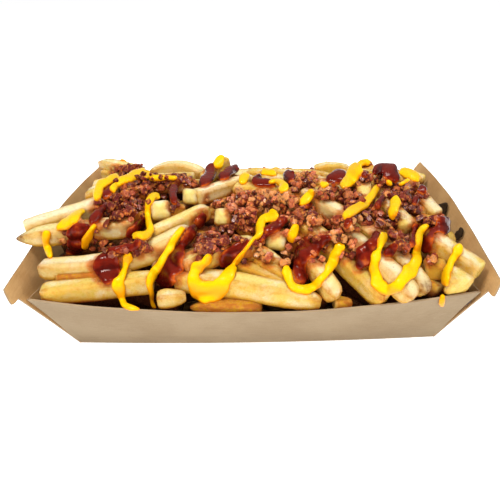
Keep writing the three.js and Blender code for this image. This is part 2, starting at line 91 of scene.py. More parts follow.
class NodeTree:
    """A tree of nodes in the making, with the short calls that shading and shaping share."""

    def __init__(self, tree: bpy.types.NodeTree) -> None:
        """Takes up an empty tree."""
        self.tree = tree

    def add(self, kind: str, inputs: Optional[dict] = None, out: int | str = 0, **settings: Feed) -> Socket:
        """Adds a node.

        Args:
            kind: the node's type.
            inputs: what goes into its sockets, by name or number.
            out: which output is wanted.
            settings: its properties.

        Returns:
            The wanted output socket.
        """
        made = self.tree.nodes.new(kind)
        for key, value in settings.items():
            setattr(made, key, value)
        for key, value in (inputs or {}).items():
            self.feed(made.inputs[key], value)
        return made.outputs[out]

    def feed(self, socket: Socket, value: Feed) -> None:
        """Links a socket, or sets it where the value is constant.

        Args:
            socket: what takes the value.
            value: another node's output, or a constant.
        """
        if isinstance(value, bpy.types.NodeSocket):
            self.tree.links.new(value, socket)
        else:
            socket.default_value = value

    def maths(self, kind: str, first: Feed, second: Feed, clamp: bool = False) -> Socket:
        """One step of arithmetic on numbers."""
        return self.add("ShaderNodeMath", {0: first, 1: second}, operation=kind, use_clamp=clamp)

    def plus(self, first: Feed, second: Feed, clamp: bool = False) -> Socket:
        """Two numbers added."""
        return self.maths("ADD", first, second, clamp)

    def times(self, first: Feed, second: Feed, clamp: bool = False) -> Socket:
        """Two numbers multiplied."""
        return self.maths("MULTIPLY", first, second, clamp)


class Shading(NodeTree):
    """One material's node tree, with short calls for the nodes that the finishes share."""

    def __init__(self, name: str) -> None:
        """Starts an empty material.

        Args:
            name: the material's name.
        """
        self.material = bpy.data.materials.new(name)
        self.material.use_nodes = True
        super().__init__(self.material.node_tree)
        self.tree.nodes.clear()
        self.shader = self.tree.nodes.new("ShaderNodeBsdfPrincipled")
        output = self.tree.nodes.new("ShaderNodeOutputMaterial")
        self.tree.links.new(self.shader.outputs[0], output.inputs[0])
        self.place = self.add("ShaderNodeTexCoord", out="Object")

    def attribute(self, name: str, out: str = "Fac") -> Socket:
        """A value kept on the mesh."""
        return self.add("ShaderNodeAttribute", out=out, attribute_name=name)

    def stretched(self, scale: Point, at: Optional[Socket] = None) -> Socket:
        """The object's own coordinates, or others, scaled differently along each axis."""
        return self.add("ShaderNodeMapping", {"Vector": at or self.place, "Scale": scale})

    def facing_up(self) -> Socket:
        """How far the surface faces up: 1 on top, 0 at the side, -1 underneath."""
        return self.add("ShaderNodeSeparateXYZ", {0: self.add("ShaderNodeNewGeometry", out="Normal")}, "Z")

    def noise(
        self, size: float, detail: float = 3, rough: float = 0.55, at: Optional[Socket] = None
    ) -> Socket:
        """Cloudy noise.

        Args:
            size: the size of its clouds in millimetres.
            detail: how many finer layers it has.
            rough: how strong the finer layers are.
            at: the coordinates, or the object's own.

        Returns:
            The noise's value, about 0.3 to 0.7.
        """
        fine = {"Scale": 1 / (size * METRES), "Detail": detail, "Roughness": rough}
        return self.add("ShaderNodeTexNoise", {"Vector": at or self.place, **fine}, "Fac")

    def cells(self, size: float) -> Socket:
        """Distance to the nearest of scattered points, so many millimetres apart, for blisters and flecks."""
        inputs = {"Vector": self.place, "Scale": 1 / (size * METRES)}
        return self.add("ShaderNodeTexVoronoi", inputs, "Distance")

    def spread(self, value: Socket, low: float, high: float, start: float = 0, end: float = 1) -> Socket:
        """Maps the range from low to high smoothly onto the range from start to end."""
        inputs = {"Value": value, "From Min": low, "From Max": high, "To Min": start, "To Max": end}
        return self.add("ShaderNodeMapRange", inputs, interpolation_type="SMOOTHSTEP")

    def mix(self, share: Feed, first: Feed, second: Feed) -> Socket:
        """Mixes two colours."""
        inputs = {"Factor": share, "A": first, "B": second}
        return self.add("ShaderNodeMix", inputs, "Result", data_type="RGBA")

    def dress(self, colour: Feed, roughness: Feed, **others: Feed) -> None:
        """Feeds the shader's own sockets; an underscore stands for a space in a socket's name."""
        for name, value in {"Base_Color": colour, "Roughness": roughness, **others}.items():
            self.feed(self.shader.inputs[name.replace("_", " ")], value)

    def relief(self, *layers: tuple[Socket, float]) -> None:
        """Adds bumps to the surface.

        Args:
            layers: pairs of a height, 0 to 1, and its depth in millimetres.
        """
        under: dict = {}
        for height, depth in layers:
            inputs = {"Strength": 1, "Distance": depth * METRES, "Height": height, **under}
            under = {"Normal": self.add("ShaderNodeBump", inputs)}
        self.feed(self.shader.inputs["Normal"], under["Normal"])


# Finishes


@dataclass(frozen=True)
class KraftCardFinish:
    """Unbleached card: cloudy pulp, fine fibres and dark flecks, warmer inside, paler along its cut edges."""

    outside: Colour = paint(145, 126, 99)
    outside_shade: Colour = paint(132, 112, 85)
    inside: Colour = paint(203, 162, 108)
    inside_shade: Colour = paint(187, 143, 90)
    cut_edge: Colour = paint(152, 128, 98)
    fleck: Colour = paint(120, 92, 60)
    grease: Colour = paint(122, 84, 44)
    fibre_length: float = 9
    fibre_width: float = 0.5

    def make(self) -> bpy.types.Material:
        """Builds the material.

        Returns:
            The material, which reads the mesh values inner, cut and greasy.
        """
        s = Shading("kraft_card")
        cloud = s.noise(22, 4)
        long, fine = 1 / self.fibre_length, 1 / self.fibre_width
        along = s.noise(1, 2, at=s.stretched((long, fine, fine)))
        across = s.noise(1, 2, at=s.stretched((fine, long, fine)))
        fibres = s.times(s.plus(along, across), 0.5)
        shade = s.plus(s.spread(cloud, 0.35, 0.65, 0, 0.6), s.spread(fibres, 0.38, 0.62, 0, 0.5), True)
        outer = s.mix(shade, self.outside, self.outside_shade)
        inner = s.mix(shade, self.inside, self.inside_shade)
        greasy = s.times(s.attribute("greasy"), s.spread(s.noise(14, 4), 0.42, 0.62), True)
        inner = s.mix(s.times(greasy, 0.75), inner, self.grease)
        colour = s.mix(s.attribute("inner"), outer, inner)
        colour = s.mix(s.attribute("cut"), colour, self.cut_edge)
        flecks = s.spread(s.cells(2.6), 0.16, 0.08)
        rare = s.spread(s.noise(5, 2), 0.52, 0.62)
        colour = s.mix(s.times(s.times(flecks, rare), 0.45), colour, self.fleck)
        s.dress(colour, s.spread(greasy, 0, 1, 0.82, 0.5), Specular_IOR_Level=0.3)
        s.relief((fibres, 0.05), (cloud, 0.25))
        return s.material


@dataclass(frozen=True)
class FriedPotatoFinish:
    """Fried potato: pale on its flat faces, golden along corners and ends, brown where it caught the heat,
    with painted shade on faces that turn down, in hollows and deep in the heap.
    """

    pale: Colour = paint(252, 245, 212)
    cream: Colour = paint(241, 222, 126)
    golden: Colour = paint(230, 178, 56)
    toasted: Colour = paint(190, 112, 36)
    burnt: Colour = paint(96, 48, 18)
    # Near-black painted shade, deep in the heap.
    darkest_shade: Colour = paint(44, 14, 8)
    # The sauce stain's colour, also the first step of the painted shade deep in the heap.
    stained: Colour = paint(150, 60, 24)
    filmed: Colour = paint(214, 116, 34)
    crumb: Colour = paint(255, 228, 128)
    shadow: Colour = paint(138, 70, 24)
    patch: float = 11
    mottle: float = 2.6
    sheen: Colour = (1.0, 0.9, 0.6, 1.0)
    scatter: Point = (1.0, 0.7, 0.3)
    fibre_length: float = 14
    fibre_width: float = 1.5

    def make(self) -> bpy.types.Material:
        """Builds the material.

        Returns:
            The material, which reads the mesh values tone, corner, end, cut_end, depth_shade,
            occlusion_shade, sauced, scorch and own_place; depth_shade and occlusion_shade carry painted
            shade.
        """
        s = Shading("fried_potato")
        long, fine = 1 / self.fibre_length, 1 / self.fibre_width
        fibres = s.noise(1, 3, at=s.stretched((long, fine, fine), s.attribute("own_place", "Vector")))
        patches = s.noise(self.patch, 3)
        mottle = s.noise(self.mottle, 4, 0.6)
        blister = s.cells(1.7)
        tone, corner, end, depth_shade = (s.attribute(name) for name in ("tone", "corner", "end", "depth_shade"))
        ripe = s.spread(tone, 0, 0.3, 0.3, 1)
        colour = s.mix(s.times(s.spread(patches, 0.36, 0.58), ripe), self.pale, self.cream)
        # Painted shade: faces that turn down are mixed towards golden, as if shaded from above.
        lower = s.spread(s.facing_up(), 0.55, -0.5)
        gold = s.plus(s.times(corner, 0.42), s.times(lower, 0.6))
        streaks = s.plus(s.spread(mottle, 0.45, 0.7, 0, 0.36), s.spread(fibres, 0.48, 0.64, 0, 0.6))
        gold = s.plus(gold, s.times(streaks, ripe))
        gold = s.plus(gold, s.spread(tone, 0.25, 0.9, 0, 0.7))
        # Painted shade: where the view is blocked close by, the potato turns golden, toasted and then dark
        # brown.
        occlusion_shade = s.attribute("occlusion_shade")
        gold = s.plus(gold, s.times(occlusion_shade, 0.5), True)
        colour = s.mix(gold, colour, self.golden)
        uneven = s.spread(mottle, 0.3, 0.7, 0.35, 1.35)
        toast = s.plus(s.times(end, 0.42), s.times(s.spread(corner, 0.4, 1), 0.3))
        toast = s.plus(toast, s.spread(tone, 0.45, 1, 0, 0.8))
        # Painted shade: faces that turn down are also toasted along their fibres.
        toast = s.plus(toast, s.times(lower, s.spread(fibres, 0.5, 0.66, 0, 0.35)))
        toast = s.plus(toast, s.spread(occlusion_shade, 0.25, 0.85, 0, 0.55))
        toast = s.times(toast, uneven, True)
        colour = s.mix(toast, colour, self.toasted)
        rare = s.spread(s.noise(7, 2), 0.48, 0.62)
        specks = s.times(s.spread(blister, 0.3, 0.08, 0, 0.5), rare, True)
        colour = s.mix(specks, colour, self.toasted)
        burn = s.times(s.plus(s.attribute("scorch"), s.spread(tone, 0.72, 1, 0, 0.6)), uneven)
        burn = s.times(burn, s.spread(end, 0, 0.7), True)
        colour = s.mix(burn, colour, self.burnt)
        colour = s.mix(s.spread(occlusion_shade, 0.58, 1, 0, 0.75), colour, self.shadow)
        colour = s.mix(s.times(s.attribute("cut_end"), 0.85), colour, self.crumb)
        sauced = s.attribute("sauced")
        film = s.times(s.spread(sauced, 0.2, 0.6), s.spread(s.noise(6, 3), 0.4, 0.58, 0, 0.8), True)
        colour = s.mix(film, colour, self.filmed)
        stain = s.times(s.spread(sauced, 0.4, 1), s.spread(mottle, 0.3, 0.6, 0.4, 1), True)
        colour = s.mix(stain, colour, self.stained)
        # Painted shade: the deeper a point lies below the heap's surface, the more it turns to the stain
        # colour and then near black.
        colour = s.mix(s.spread(depth_shade, 0, 0.5, 0, 0.85), colour, self.stained)
        colour = s.mix(s.spread(depth_shade, 0.15, 0.85, 0, 0.97), colour, self.darkest_shade)
        s.dress(
            colour, s.spread(mottle, 0.35, 0.65, 0.22, 0.44),
            Specular_IOR_Level=0.4, Specular_Tint=self.sheen,
            Subsurface_Weight=0.2, Subsurface_Scale=0.002, Subsurface_Radius=self.scatter,
        )
        s.relief((blister, 0.1), (mottle, 0.25), (fibres, 0.35), (s.noise(0.7, 3), 0.08))
        return s.material


@dataclass(frozen=True)
class SauceFinish:
    """A smooth glossy sauce, lighter where it is thin.

    Args:
        name: the material's name.
        thick: its colour where it is deep.
        middle: its colour part of the way.
        thin: its colour along its edges.
        full: the depth, in millimetres, from which it has its full colour.
        roughness: of its surface.
        scatter: how much light it spreads inside.
        coat: how strongly its wet skin shines.
        sheen: the colour of its broad reflections.
        hanging_shade: painted shade, how far it turns to its thin colour where it faces down or sideways.
        shine: how strongly its surface itself shines.
        lit: its colour where it faces up into the light, if that differs.
    """

    name: str
    thick: Colour
    middle: Colour
    thin: Colour
    full: float
    roughness: float
    scatter: float
    coat: float
    sheen: Colour = WHITE
    hanging_shade: float = 0.0
    shine: float = 0.3
    lit: Optional[Colour] = None

    def make(self) -> bpy.types.Material:
        """Builds the material.

        Returns:
            The material, which reads the mesh value depth.
        """
        s = Shading(self.name)
        depth = s.plus(s.attribute("depth"), s.spread(s.noise(3, 2), 0.3, 0.7, -0.25, 0.25))
        colour = s.mix(s.spread(depth, 0.15, self.full * 0.55), self.thin, self.middle)
        colour = s.mix(s.spread(depth, self.full * 0.45, self.full), colour, self.thick)
        # Painted shade: the thin, more orange colour where the sauce faces down or sideways.
        if self.hanging_shade:
            colour = s.mix(s.spread(s.facing_up(), 0.65, -0.2, 0, self.hanging_shade), colour, self.thin)
        if self.lit:
            colour = s.mix(s.spread(s.facing_up(), 0.75, 1, 0, 0.8), colour, self.lit)
        s.dress(
            colour, s.spread(s.noise(4, 2), 0.3, 0.7, self.roughness, self.roughness * 1.5),
            Specular_IOR_Level=self.shine, Specular_Tint=self.sheen,
            Coat_Weight=self.coat, Coat_Roughness=0.06,
            Subsurface_Weight=self.scatter, Subsurface_Scale=0.002,
        )
        s.relief((s.noise(4, 2), 0.35), (s.noise(1.2, 2), 0.03))
        return s.material


@dataclass(frozen=True)
class BaconFinish:
    """Fried cured bacon: red-brown lean, paler pink and amber fat, dark crisp spots, and painted shade where
    the bits are hemmed in.
    """

    lean: Colour = paint(152, 62, 32)
    rosy: Colour = paint(220, 126, 78)
    amber: Colour = paint(226, 140, 50)
    crisp: Colour = paint(86, 28, 20)
    tan: Colour = paint(214, 148, 84)
    plum: Colour = paint(106, 32, 30)
    # Painted shade for the bits' hollows and the gaps between them.
    sunk: Colour = paint(48, 16, 10)
    sheen: Colour = (1.0, 0.84, 0.76, 1.0)

    def make(self) -> bpy.types.Material:
        """Builds the material.

        Returns:
            The material, which reads the mesh values tone, kind and occlusion_shade.
        """
        s = Shading("bacon")
        tone = s.attribute("tone")
        grain = s.noise(1.6, 3)
        streak = s.noise(2.4, 2)
        colour = s.mix(s.spread(tone, 0.2, 0.6), self.crisp, self.lean)
        fatty = s.times(s.spread(tone, 0.5, 0.95), s.spread(streak, 0.4, 0.6, 0.25, 1))
        colour = s.mix(fatty, colour, self.rosy)
        kind = s.attribute("kind")
        colour = s.mix(s.spread(kind, 0.74, 0.88, 0, 0.7), colour, self.tan)
        colour = s.mix(s.spread(kind, 0.32, 0.18, 0, 0.7), colour, self.plum)
        colour = s.mix(s.spread(grain, 0.52, 0.68, 0, 0.7), colour, self.amber)
        colour = s.mix(s.spread(grain, 0.46, 0.3, 0, 0.75), colour, self.crisp)
        # Painted shade: darker where the view from a bit is blocked close by.
        colour = s.mix(s.spread(s.attribute("occlusion_shade"), 0.35, 0.9, 0, 0.85), colour, self.sunk)
        s.dress(
            colour, s.spread(grain, 0.35, 0.65, 0.2, 0.42), Specular_IOR_Level=0.55, Specular_Tint=self.sheen,
            Subsurface_Weight=0.12, Subsurface_Scale=0.0015,
        )
        s.relief((grain, 0.25), (s.noise(0.5, 2), 0.06))
        return s.material


CHEESE = SauceFinish(
    name="cheese_sauce", thick=paint(240, 186, 1), middle=paint(236, 170, 1), thin=paint(220, 128, 4),
    full=1.5, roughness=0.3, scatter=0.15, coat=0.12, sheen=(1.0, 0.85, 0.25, 1.0), hanging_shade=0.75,
)
BARBECUE = SauceFinish(
    name="barbecue_sauce", thick=paint(70, 9, 5), middle=paint(114, 24, 9), thin=paint(188, 84, 22),
    full=2.3, roughness=0.1, scatter=0.1, coat=0.0, sheen=(1.0, 0.78, 0.7, 1.0), shine=0.2,
    lit=paint(110, 27, 14),
)
DRIED_SAUCE = SauceFinish(
    name="dried_sauce", thick=paint(50, 36, 20), middle=paint(60, 44, 24), thin=paint(92, 68, 38),
    full=1.2, roughness=0.5, scatter=0.0, coat=0.0,
)


@dataclass(frozen=True)
class FloorFinish:
    """A plain pale floor with the faintest clouding, lit from below like a light table."""

    light: Colour = paint(252, 252, 252)
    shade: Colour = paint(248, 248, 248)
    glow: float = 0.72

    def make(self) -> bpy.types.Material:
        """Builds the material.

        Returns:
            The material.
        """
        s = Shading("floor")
        clouded = s.mix(s.noise(300, 2), self.light, self.shade)
        s.dress(clouded, 0.9, Specular_IOR_Level=0.2, Emission_Strength=self.glow, Emission_Color=WHITE)
        return s.material


# Meshes


def put_in_scene(name: str, data: bpy.types.ID) -> bpy.types.Object:
    """Makes an object of a mesh, lamp or camera and puts it in the scene.

    Args:
        name: the object's name.
        data: what it shows.

    Returns:
        The object, at the origin.
    """
    made = bpy.data.objects.new(name, data)
    bpy.context.scene.collection.objects.link(made)
    return made


@dataclass
class Shell:
    """A mesh being made: its points in millimetres, its faces, and values kept on its points."""

    points: np.ndarray
    faces: list
    values: dict[str, np.ndarray] = field(default_factory=dict)

    def object(self, name: str) -> bpy.types.Object:
        """Makes the Blender object.

        Args:
            name: its name.

        Returns:
            The object, in metres, shaded smooth.
        """
        mesh = bpy.data.meshes.new(name)
        mesh.from_pydata((self.points * METRES).tolist(), [], self.faces)
        for key, value in self.values.items():
            layer = mesh.attributes.new(key, "FLOAT", "POINT")
            layer.data.foreach_set("value", np.asarray(value, np.float32))
        mesh.shade_smooth()
        mesh.update()
        return put_in_scene(name, mesh)


def joined(shells: Sequence[Shell]) -> Shell:
    """Puts several shells into one.

    Args:
        shells: the shells.

    Returns:
        One shell, in which each is still a closed body of its own.
    """
    faces: list = []
    start = 0
    for shell in shells:
        faces.extend([tuple(corner + start for corner in face) for face in shell.faces])
        start += len(shell.points)
    names = {name for shell in shells for name in shell.values}
    values = {
        name: np.concatenate([shell.values.get(name, np.zeros(len(shell.points))) for shell in shells])
        for name in names
    }
    return Shell(np.concatenate([shell.points for shell in shells]), faces, values)


def points_of(made: bpy.types.Object) -> np.ndarray:
    """Reads an object's points.

    Args:
        made: the object.

    Returns:
        Its points in millimetres, one row each.
    """
    flat = np.empty(len(made.data.vertices) * 3, np.float32)
    made.data.vertices.foreach_get("co", flat)
    return flat.reshape(-1, 3).astype(float) / METRES


def move_points(made: bpy.types.Object, points: np.ndarray) -> None:
    """Puts an object's points, in millimetres, where they are given."""
    made.data.vertices.foreach_set("co", (points * METRES).astype(np.float32).ravel())
    made.data.update()


def keep_value(made: bpy.types.Object, name: str, value: np.ndarray) -> None:
    """Keeps one value for each of an object's points."""
    layer = made.data.attributes.get(name) or made.data.attributes.new(name, "FLOAT", "POINT")
    layer.data.foreach_set("value", np.asarray(value, np.float32))


def settle(made: bpy.types.Object) -> None:
    """Turns what an object's modifiers make into its plain mesh, and removes them.

    Args:
        made: the object.
    """
    graph = bpy.context.evaluated_depsgraph_get()
    mesh = bpy.data.meshes.new_from_object(
        made.evaluated_get(graph), preserve_all_data_layers=True, depsgraph=graph
    )
    made.modifiers.clear()
    made.data = mesh


def smoothed(made: bpy.types.Object, rounds: int, strength: float) -> None:
    """Draws each point towards the middle of its neighbours, a little in each round.

    Args:
        made: the object.
        rounds: how many times.
        strength: how much of the way each time.
    """
    points = points_of(made)
    ends = np.empty(len(made.data.edges) * 2, np.int32)
    made.data.edges.foreach_get("vertices", ends)
    first, second = ends.reshape(-1, 2).T
    count = np.zeros(len(points))
    np.add.at(count, first, 1)
    np.add.at(count, second, 1)
    for _ in range(rounds):
        total = np.zeros_like(points)
        np.add.at(total, first, points[second])
        np.add.at(total, second, points[first])
        points += strength * (total / count[:, None] - points)
    move_points(made, points)


def wear(made: bpy.types.Object, material: bpy.types.Material) -> None:
    """Gives an object one material."""
    made.data.materials.clear()
    made.data.materials.append(material)


def hand_over(made: bpy.types.Object, slot: str, *nodes: str) -> None:
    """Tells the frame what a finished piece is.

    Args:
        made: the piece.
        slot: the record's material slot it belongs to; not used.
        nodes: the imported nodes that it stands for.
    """
    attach(made, BODY)
    if nodes:
        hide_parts(*nodes)
    log.info("%s: %d faces", made.name, len(made.data.polygons))


class Recipe(NodeTree):
    """A Geometry Nodes tree with named inputs, and short calls for its nodes."""

    def __init__(self, name: str) -> None:
        """Starts a tree with one geometry in and one out.

        Args:
            name: the tree's name.
        """
        super().__init__(bpy.data.node_groups.new(name, "GeometryNodeTree"))
        for way in ("INPUT", "OUTPUT"):
            self.tree.interface.new_socket("Geometry", in_out=way, socket_type="NodeSocketGeometry")
        self.source = self.tree.nodes.new("NodeGroupInput")
        self.result = self.tree.nodes.new("NodeGroupOutput")
        self.sockets: dict[str, str] = {}

    def input(self, name: str, kind: str = "NodeSocketFloat") -> Socket:
        """Adds a named input to the tree."""
        self.sockets[name] = self.tree.interface.new_socket(name, in_out="INPUT", socket_type=kind).identifier
        return self.source.outputs[name]

    def place(self) -> Socket:
        """Each point's position."""
        return self.add("GeometryNodeInputPosition")

    def value(self, name: str, kind: str = "FLOAT") -> Socket:
        """A value kept on the geometry."""
        return self.add("GeometryNodeInputNamedAttribute", {"Name": name}, data_type=kind)

    def kept(self, geometry: Socket, name: str, value: Socket, kind: str = "FLOAT") -> Socket:
        """The geometry with a value kept on its points."""
        inputs = {"Geometry": geometry, "Name": name, "Value": value}
        return self.add("GeometryNodeStoreNamedAttribute", inputs, data_type=kind, domain="POINT")

    def moved(self, geometry: Socket, offset: Socket) -> Socket:
        """The geometry with its points moved."""
        return self.add("GeometryNodeSetPosition", {"Geometry": geometry, "Offset": offset})

    def vectors(self, kind: str, first: Feed, second: Feed, out: int | str = 0) -> Socket:
        """One step of arithmetic on vectors."""
        return self.add("ShaderNodeVectorMath", {0: first, 1: second}, out, operation=kind)

    def scaled(self, vector: Socket, amount: Feed) -> Socket:
        """A vector made longer or shorter."""
        return self.add("ShaderNodeVectorMath", {0: vector, "Scale": amount}, operation="SCALE")

    def length(self, vector: Socket) -> Socket:
        """How long a vector is."""
        return self.add("ShaderNodeVectorMath", {0: vector}, "Value", operation="LENGTH")

    def noise(self, scale: float, detail: float = 2, out: str = "Fac", at: Optional[Socket] = None) -> Socket:
        """Noise at each point's position, or elsewhere; scale is clouds in a metre."""
        inputs = {"Vector": at or self.place(), "Scale": scale, "Detail": detail}
        return self.add("ShaderNodeTexNoise", inputs, out)

    def drift(self, noise: Socket, amount: Feed) -> Socket:
        """Coloured noise turned into a shift in any direction."""
        return self.scaled(self.vectors("SUBTRACT", noise, (0.5, 0.5, 0.5)), amount)

    def roughened(self, geometry: Socket, *layers: tuple[float, Feed]) -> Socket:
        """Moves points in and out along their normals.

        Args:
            geometry: what is roughened.
            layers: pairs of a noise scale and the most that it moves a point, in metres.

        Returns:
            The roughened geometry.
        """
        for scale, amount in layers:
            push = self.times(self.maths("SUBTRACT", self.noise(scale), 0.5), self.times(amount, 2.0))
            geometry = self.moved(geometry, self.scaled(self.add("GeometryNodeInputNormal"), push))
        return geometry

    def finish(self, geometry: Socket, material: bpy.types.Material) -> None:
        """Ends the tree in real geometry with its material.

        Args:
            geometry: what the tree makes.
            material: what it wears.
        """
        real = self.add("GeometryNodeRealizeInstances", {"Geometry": geometry})
        dressed = self.add("GeometryNodeSetMaterial", {"Geometry": real, "Material": material})
        self.tree.links.new(dressed, self.result.inputs[0])

    def apply(self, made: bpy.types.Object, **values: float) -> None:
        """Runs the tree on an object and keeps the result as its plain mesh.

        Args:
            made: the object.
            values: the tree's inputs, by name.
        """
        modifier = made.modifiers.new(self.tree.name, "NODES")
        modifier.node_group = self.tree
        for name, value in values.items():
            modifier[self.sockets[name]] = value
        settle(made)


# The picture's camera


@dataclass(frozen=True)
class PictureCamera:
    """The camera at the picture's viewing angle, worked out from the tray's corners.

    Args:
        position: of its lens.
        pitch: how far it looks down, in radians.
        yaw: its turn about the upright, in radians.
        roll: its turn about its line of sight, in radians.
        focal: its focal length in points of the picture.
        middle: the point of the picture on its line of sight.
        side: width and height of the picture in points.
    """

    position: Point = (11.54, -282.41, 184.68)
    pitch: float = 0.52114
    yaw: float = -0.00499
    roll: float = -0.01368
    focal: float = 539.28
    middle: tuple[float, float] = (280, 250)
    side: float = 500
    sensor: float = 36

    def axes(self) -> tuple[np.ndarray, np.ndarray, np.ndarray]:
        """Works out the ways it faces.

        Returns:
            The directions to its right, up, and forwards.
        """
        turn = np.array(Matrix.Rotation(self.yaw, 3, "Z"))
        forward = turn @ np.array([0, math.cos(self.pitch), -math.sin(self.pitch)])
        right = turn @ np.array([1.0, 0, 0])
        up = turn @ np.array([0, math.sin(self.pitch), math.cos(self.pitch)])
        cos, sin = math.cos(self.roll), math.sin(self.roll)
        return cos * right + sin * up, -sin * right + cos * up, forward

    def rays(self, across: np.ndarray, down: np.ndarray) -> tuple[np.ndarray, np.ndarray]:
        """Where the lines of sight through points of the picture start, and their directions.

        Args:
            across: points from the picture's left.
            down: points from its top.

        Returns:
            Starts and unit directions, one row each.
        """
        right, up, forward = self.axes()
        side = (across - self.middle[0])[:, None] * right - (down - self.middle[1])[:, None] * up
        direction = forward + side / self.focal
        direction /= np.linalg.norm(direction, axis=1)[:, None]
        return np.tile(np.array(self.position), (len(across), 1)), direction

    def add(self) -> None:
        """Makes it the scene's camera."""
        right, up, forward = self.axes()
        lens = bpy.data.cameras.new("camera")
        lens.sensor_width = self.sensor
        lens.lens = self.focal / self.side * self.sensor
        lens.shift_x = (self.side / 2 - self.middle[0]) / self.side
        lens.shift_y = (self.middle[1] - self.side / 2) / self.side
        lens.clip_start = 0.01
        made = put_in_scene("camera", lens)
        turn = Matrix([right, up, -forward]).transposed().to_4x4()
        made.matrix_world = Matrix.Translation(Vector(self.position) * METRES) @ turn
        bpy.context.scene.camera = made


# The tray


@dataclass
class CardTray:
    """The folded kraft-card tray: base, two bowed sides, two end panels with ears, and glued corner flaps."""

    card: float = 0.8
    base_half_length: float = 94.7
    base_half_width: float = 56.2
    base_bow: float = 2.5
    side_half_length: float = 104.4
    side_half_width: float = 74.7
    side_height: float = 40.8
    side_bow: float = 7.6
    side_sag: float = 4.4
    end_half_length: float = 114
    end_half_width: float = 75.5
    end_height: float = 47.7
    end_bow: float = 1.5
    end_rise: float = 2.8
    ear_foot: float = 0.835
    ear_top: float = 5.5
    ear_spread: float = 6.6
    ear_root: float = 0.03
    ear_swell: float = 1.5
    ear_fullness: float = 0.8
    ear_heel: float = 0.985
    ear_roundness: float = 13
    ear_direction: Point = (-0.08, -1, 0)
    flap_top: float = 0.77
    flap_fall: float = 0.09
    flap_length: float = 26
    flap_foot: float = 0.4
    flap_start: float = 0.015
    flap_gap: float = 0.1
    food_gap: float = 0.45
    side_slant: float = 1.15
    end_slant: float = 1.1
    free_height: float = 2.5
    free_reach: float = 40
    warp: float = 0.35
    side_waves: tuple[Wave, ...] = ((0.055, 0, 0.7, 0.6), (0.13, 0.02, 0, 0.4))
    end_waves: tuple[Wave, ...] = ((0, 0.06, 0.4, 0.7), (0, 0.15, 0, 0.3))
    grease_height: float = 1.35
    steps_up: int = 14
    side_steps: int = 64
    end_steps: int = 40
    ear_steps: int = 4
    flap_steps: int = 8

    def side_point(self, u: np.ndarray, v: np.ndarray) -> np.ndarray:
        """Points of the front side panel, u along it and v up it.

        Args:
            u: how far along, 0 to 1.
            v: how far up, 0 to 1.

        Returns:
            The points, one for each u and v.
        """
        across = 2 * u - 1
        bulge = 1 - across * across
        front = -self.base_half_width - self.base_bow * bulge
        base = np.stack([self.base_half_length * across, front, 0 * u], -1)
        front = -self.side_half_width - self.side_bow * bulge
        height = self.side_height - self.side_sag * bulge
        rim = np.stack([self.side_half_length * across, front, height], -1)
        return base + (rim - base) * v[..., None]

    def end_point(self, u: np.ndarray, v: np.ndarray) -> np.ndarray:
        """Points of the right end panel, u from front to back and v up it.

        Args:
            u: how far along, 0 to 1.
            v: how far up, 0 to 1.

        Returns:
            The points, one for each u and v.
        """
        across = 2 * u - 1
        bulge = 1 - across * across
        base = np.stack([self.base_half_length + 0 * u, self.base_half_width * across, 0 * u], -1)
        outer = self.end_half_length + self.end_bow * bulge
        rim = np.stack([outer, self.end_half_width * across, self.end_height + self.end_rise * bulge], -1)
        return base + (rim - base) * v[..., None]

    def ear_point(self, u: np.ndarray, v: np.ndarray) -> np.ndarray:
        """Points of the rounded ear at the end panel's front top corner.

        Args:
            u: how far along, 0 to 1.
            v: how far up, 0 to 1.

        Returns:
            The points, one for each u and v.
        """
        rise = np.clip(v, 0, 1) ** self.ear_swell
        edge = self.end_point(self.ear_root + 0 * u, self.ear_foot + (1 - self.ear_foot) * rise)
        lobe = self.ear_top + self.ear_spread * (1 - rise) ** self.ear_fullness
        lobe = lobe * np.sqrt(1 - self.ear_heel * (1 - rise) ** self.ear_roundness)
        return edge + ((1 - u) * lobe)[..., None] * np.array(self.ear_direction)

    def end_inner(self, u: np.ndarray, v: np.ndarray) -> np.ndarray:
        """Points just inside the end panel."""
        return self.end_point(u, v) - np.array([self.card + self.flap_gap, 0, 0])

    def gusset_point(self, u: np.ndarray, v: np.ndarray) -> np.ndarray:
        """Points of the corner between the side panel's end and the end panel."""
        start = self.side_point(1 + 0 * u, v)
        return start + (self.end_inner(self.flap_start + 0 * u, v * self.flap_top) - start) * u[..., None]

    def flap_point(self, u: np.ndarray, v: np.ndarray) -> np.ndarray:
        """Points of the flap glued to the inside of the end panel."""
        reach = u * self.flap_length * (self.flap_foot + (1 - self.flap_foot) * v) / (2 * self.end_half_width)
        return self.end_inner(self.flap_start + reach, v * (self.flap_top - self.flap_fall * u))

    def base_point(self, u: np.ndarray, v: np.ndarray) -> np.ndarray:
        """Points of the base, whose long edges bow out with the sides.

        Args:
            u: how far along, 0 to 1.
            v: how far back, 0 to 1.

        Returns:
            The points, one for each u and v.
        """
        across = 2 * u - 1
        half = self.base_half_width + self.base_bow * (1 - across * across)
        return np.stack([self.base_half_length * across, half * (2 * v - 1), 0 * u], -1)

    def sheet(self, point_at: Callable, rows: int, columns: int, inwards: int = -1) -> Shell:
        """A panel as a closed sheet one card thick.

        Args:
            point_at: gives the points of its outer face.
            rows: steps up it.
            columns: steps along it.
            inwards: 1 where the grid's own normal points into the tray, otherwise -1.

        Returns:
            The sheet, with the values inner, cut and greasy on its points.
        """
        step = 1e-3
        u, v = np.meshgrid(np.linspace(0, 1, columns + 1), np.linspace(0, 1, rows + 1))
        along_u = point_at(u + step, v) - point_at(u - step, v)
        along_v = point_at(u, v + step) - point_at(u, v - step)
        normal = np.cross(along_u, along_v)
        normal *= inwards / np.linalg.norm(normal, axis=-1)[..., None]
        outer = point_at(u, v)
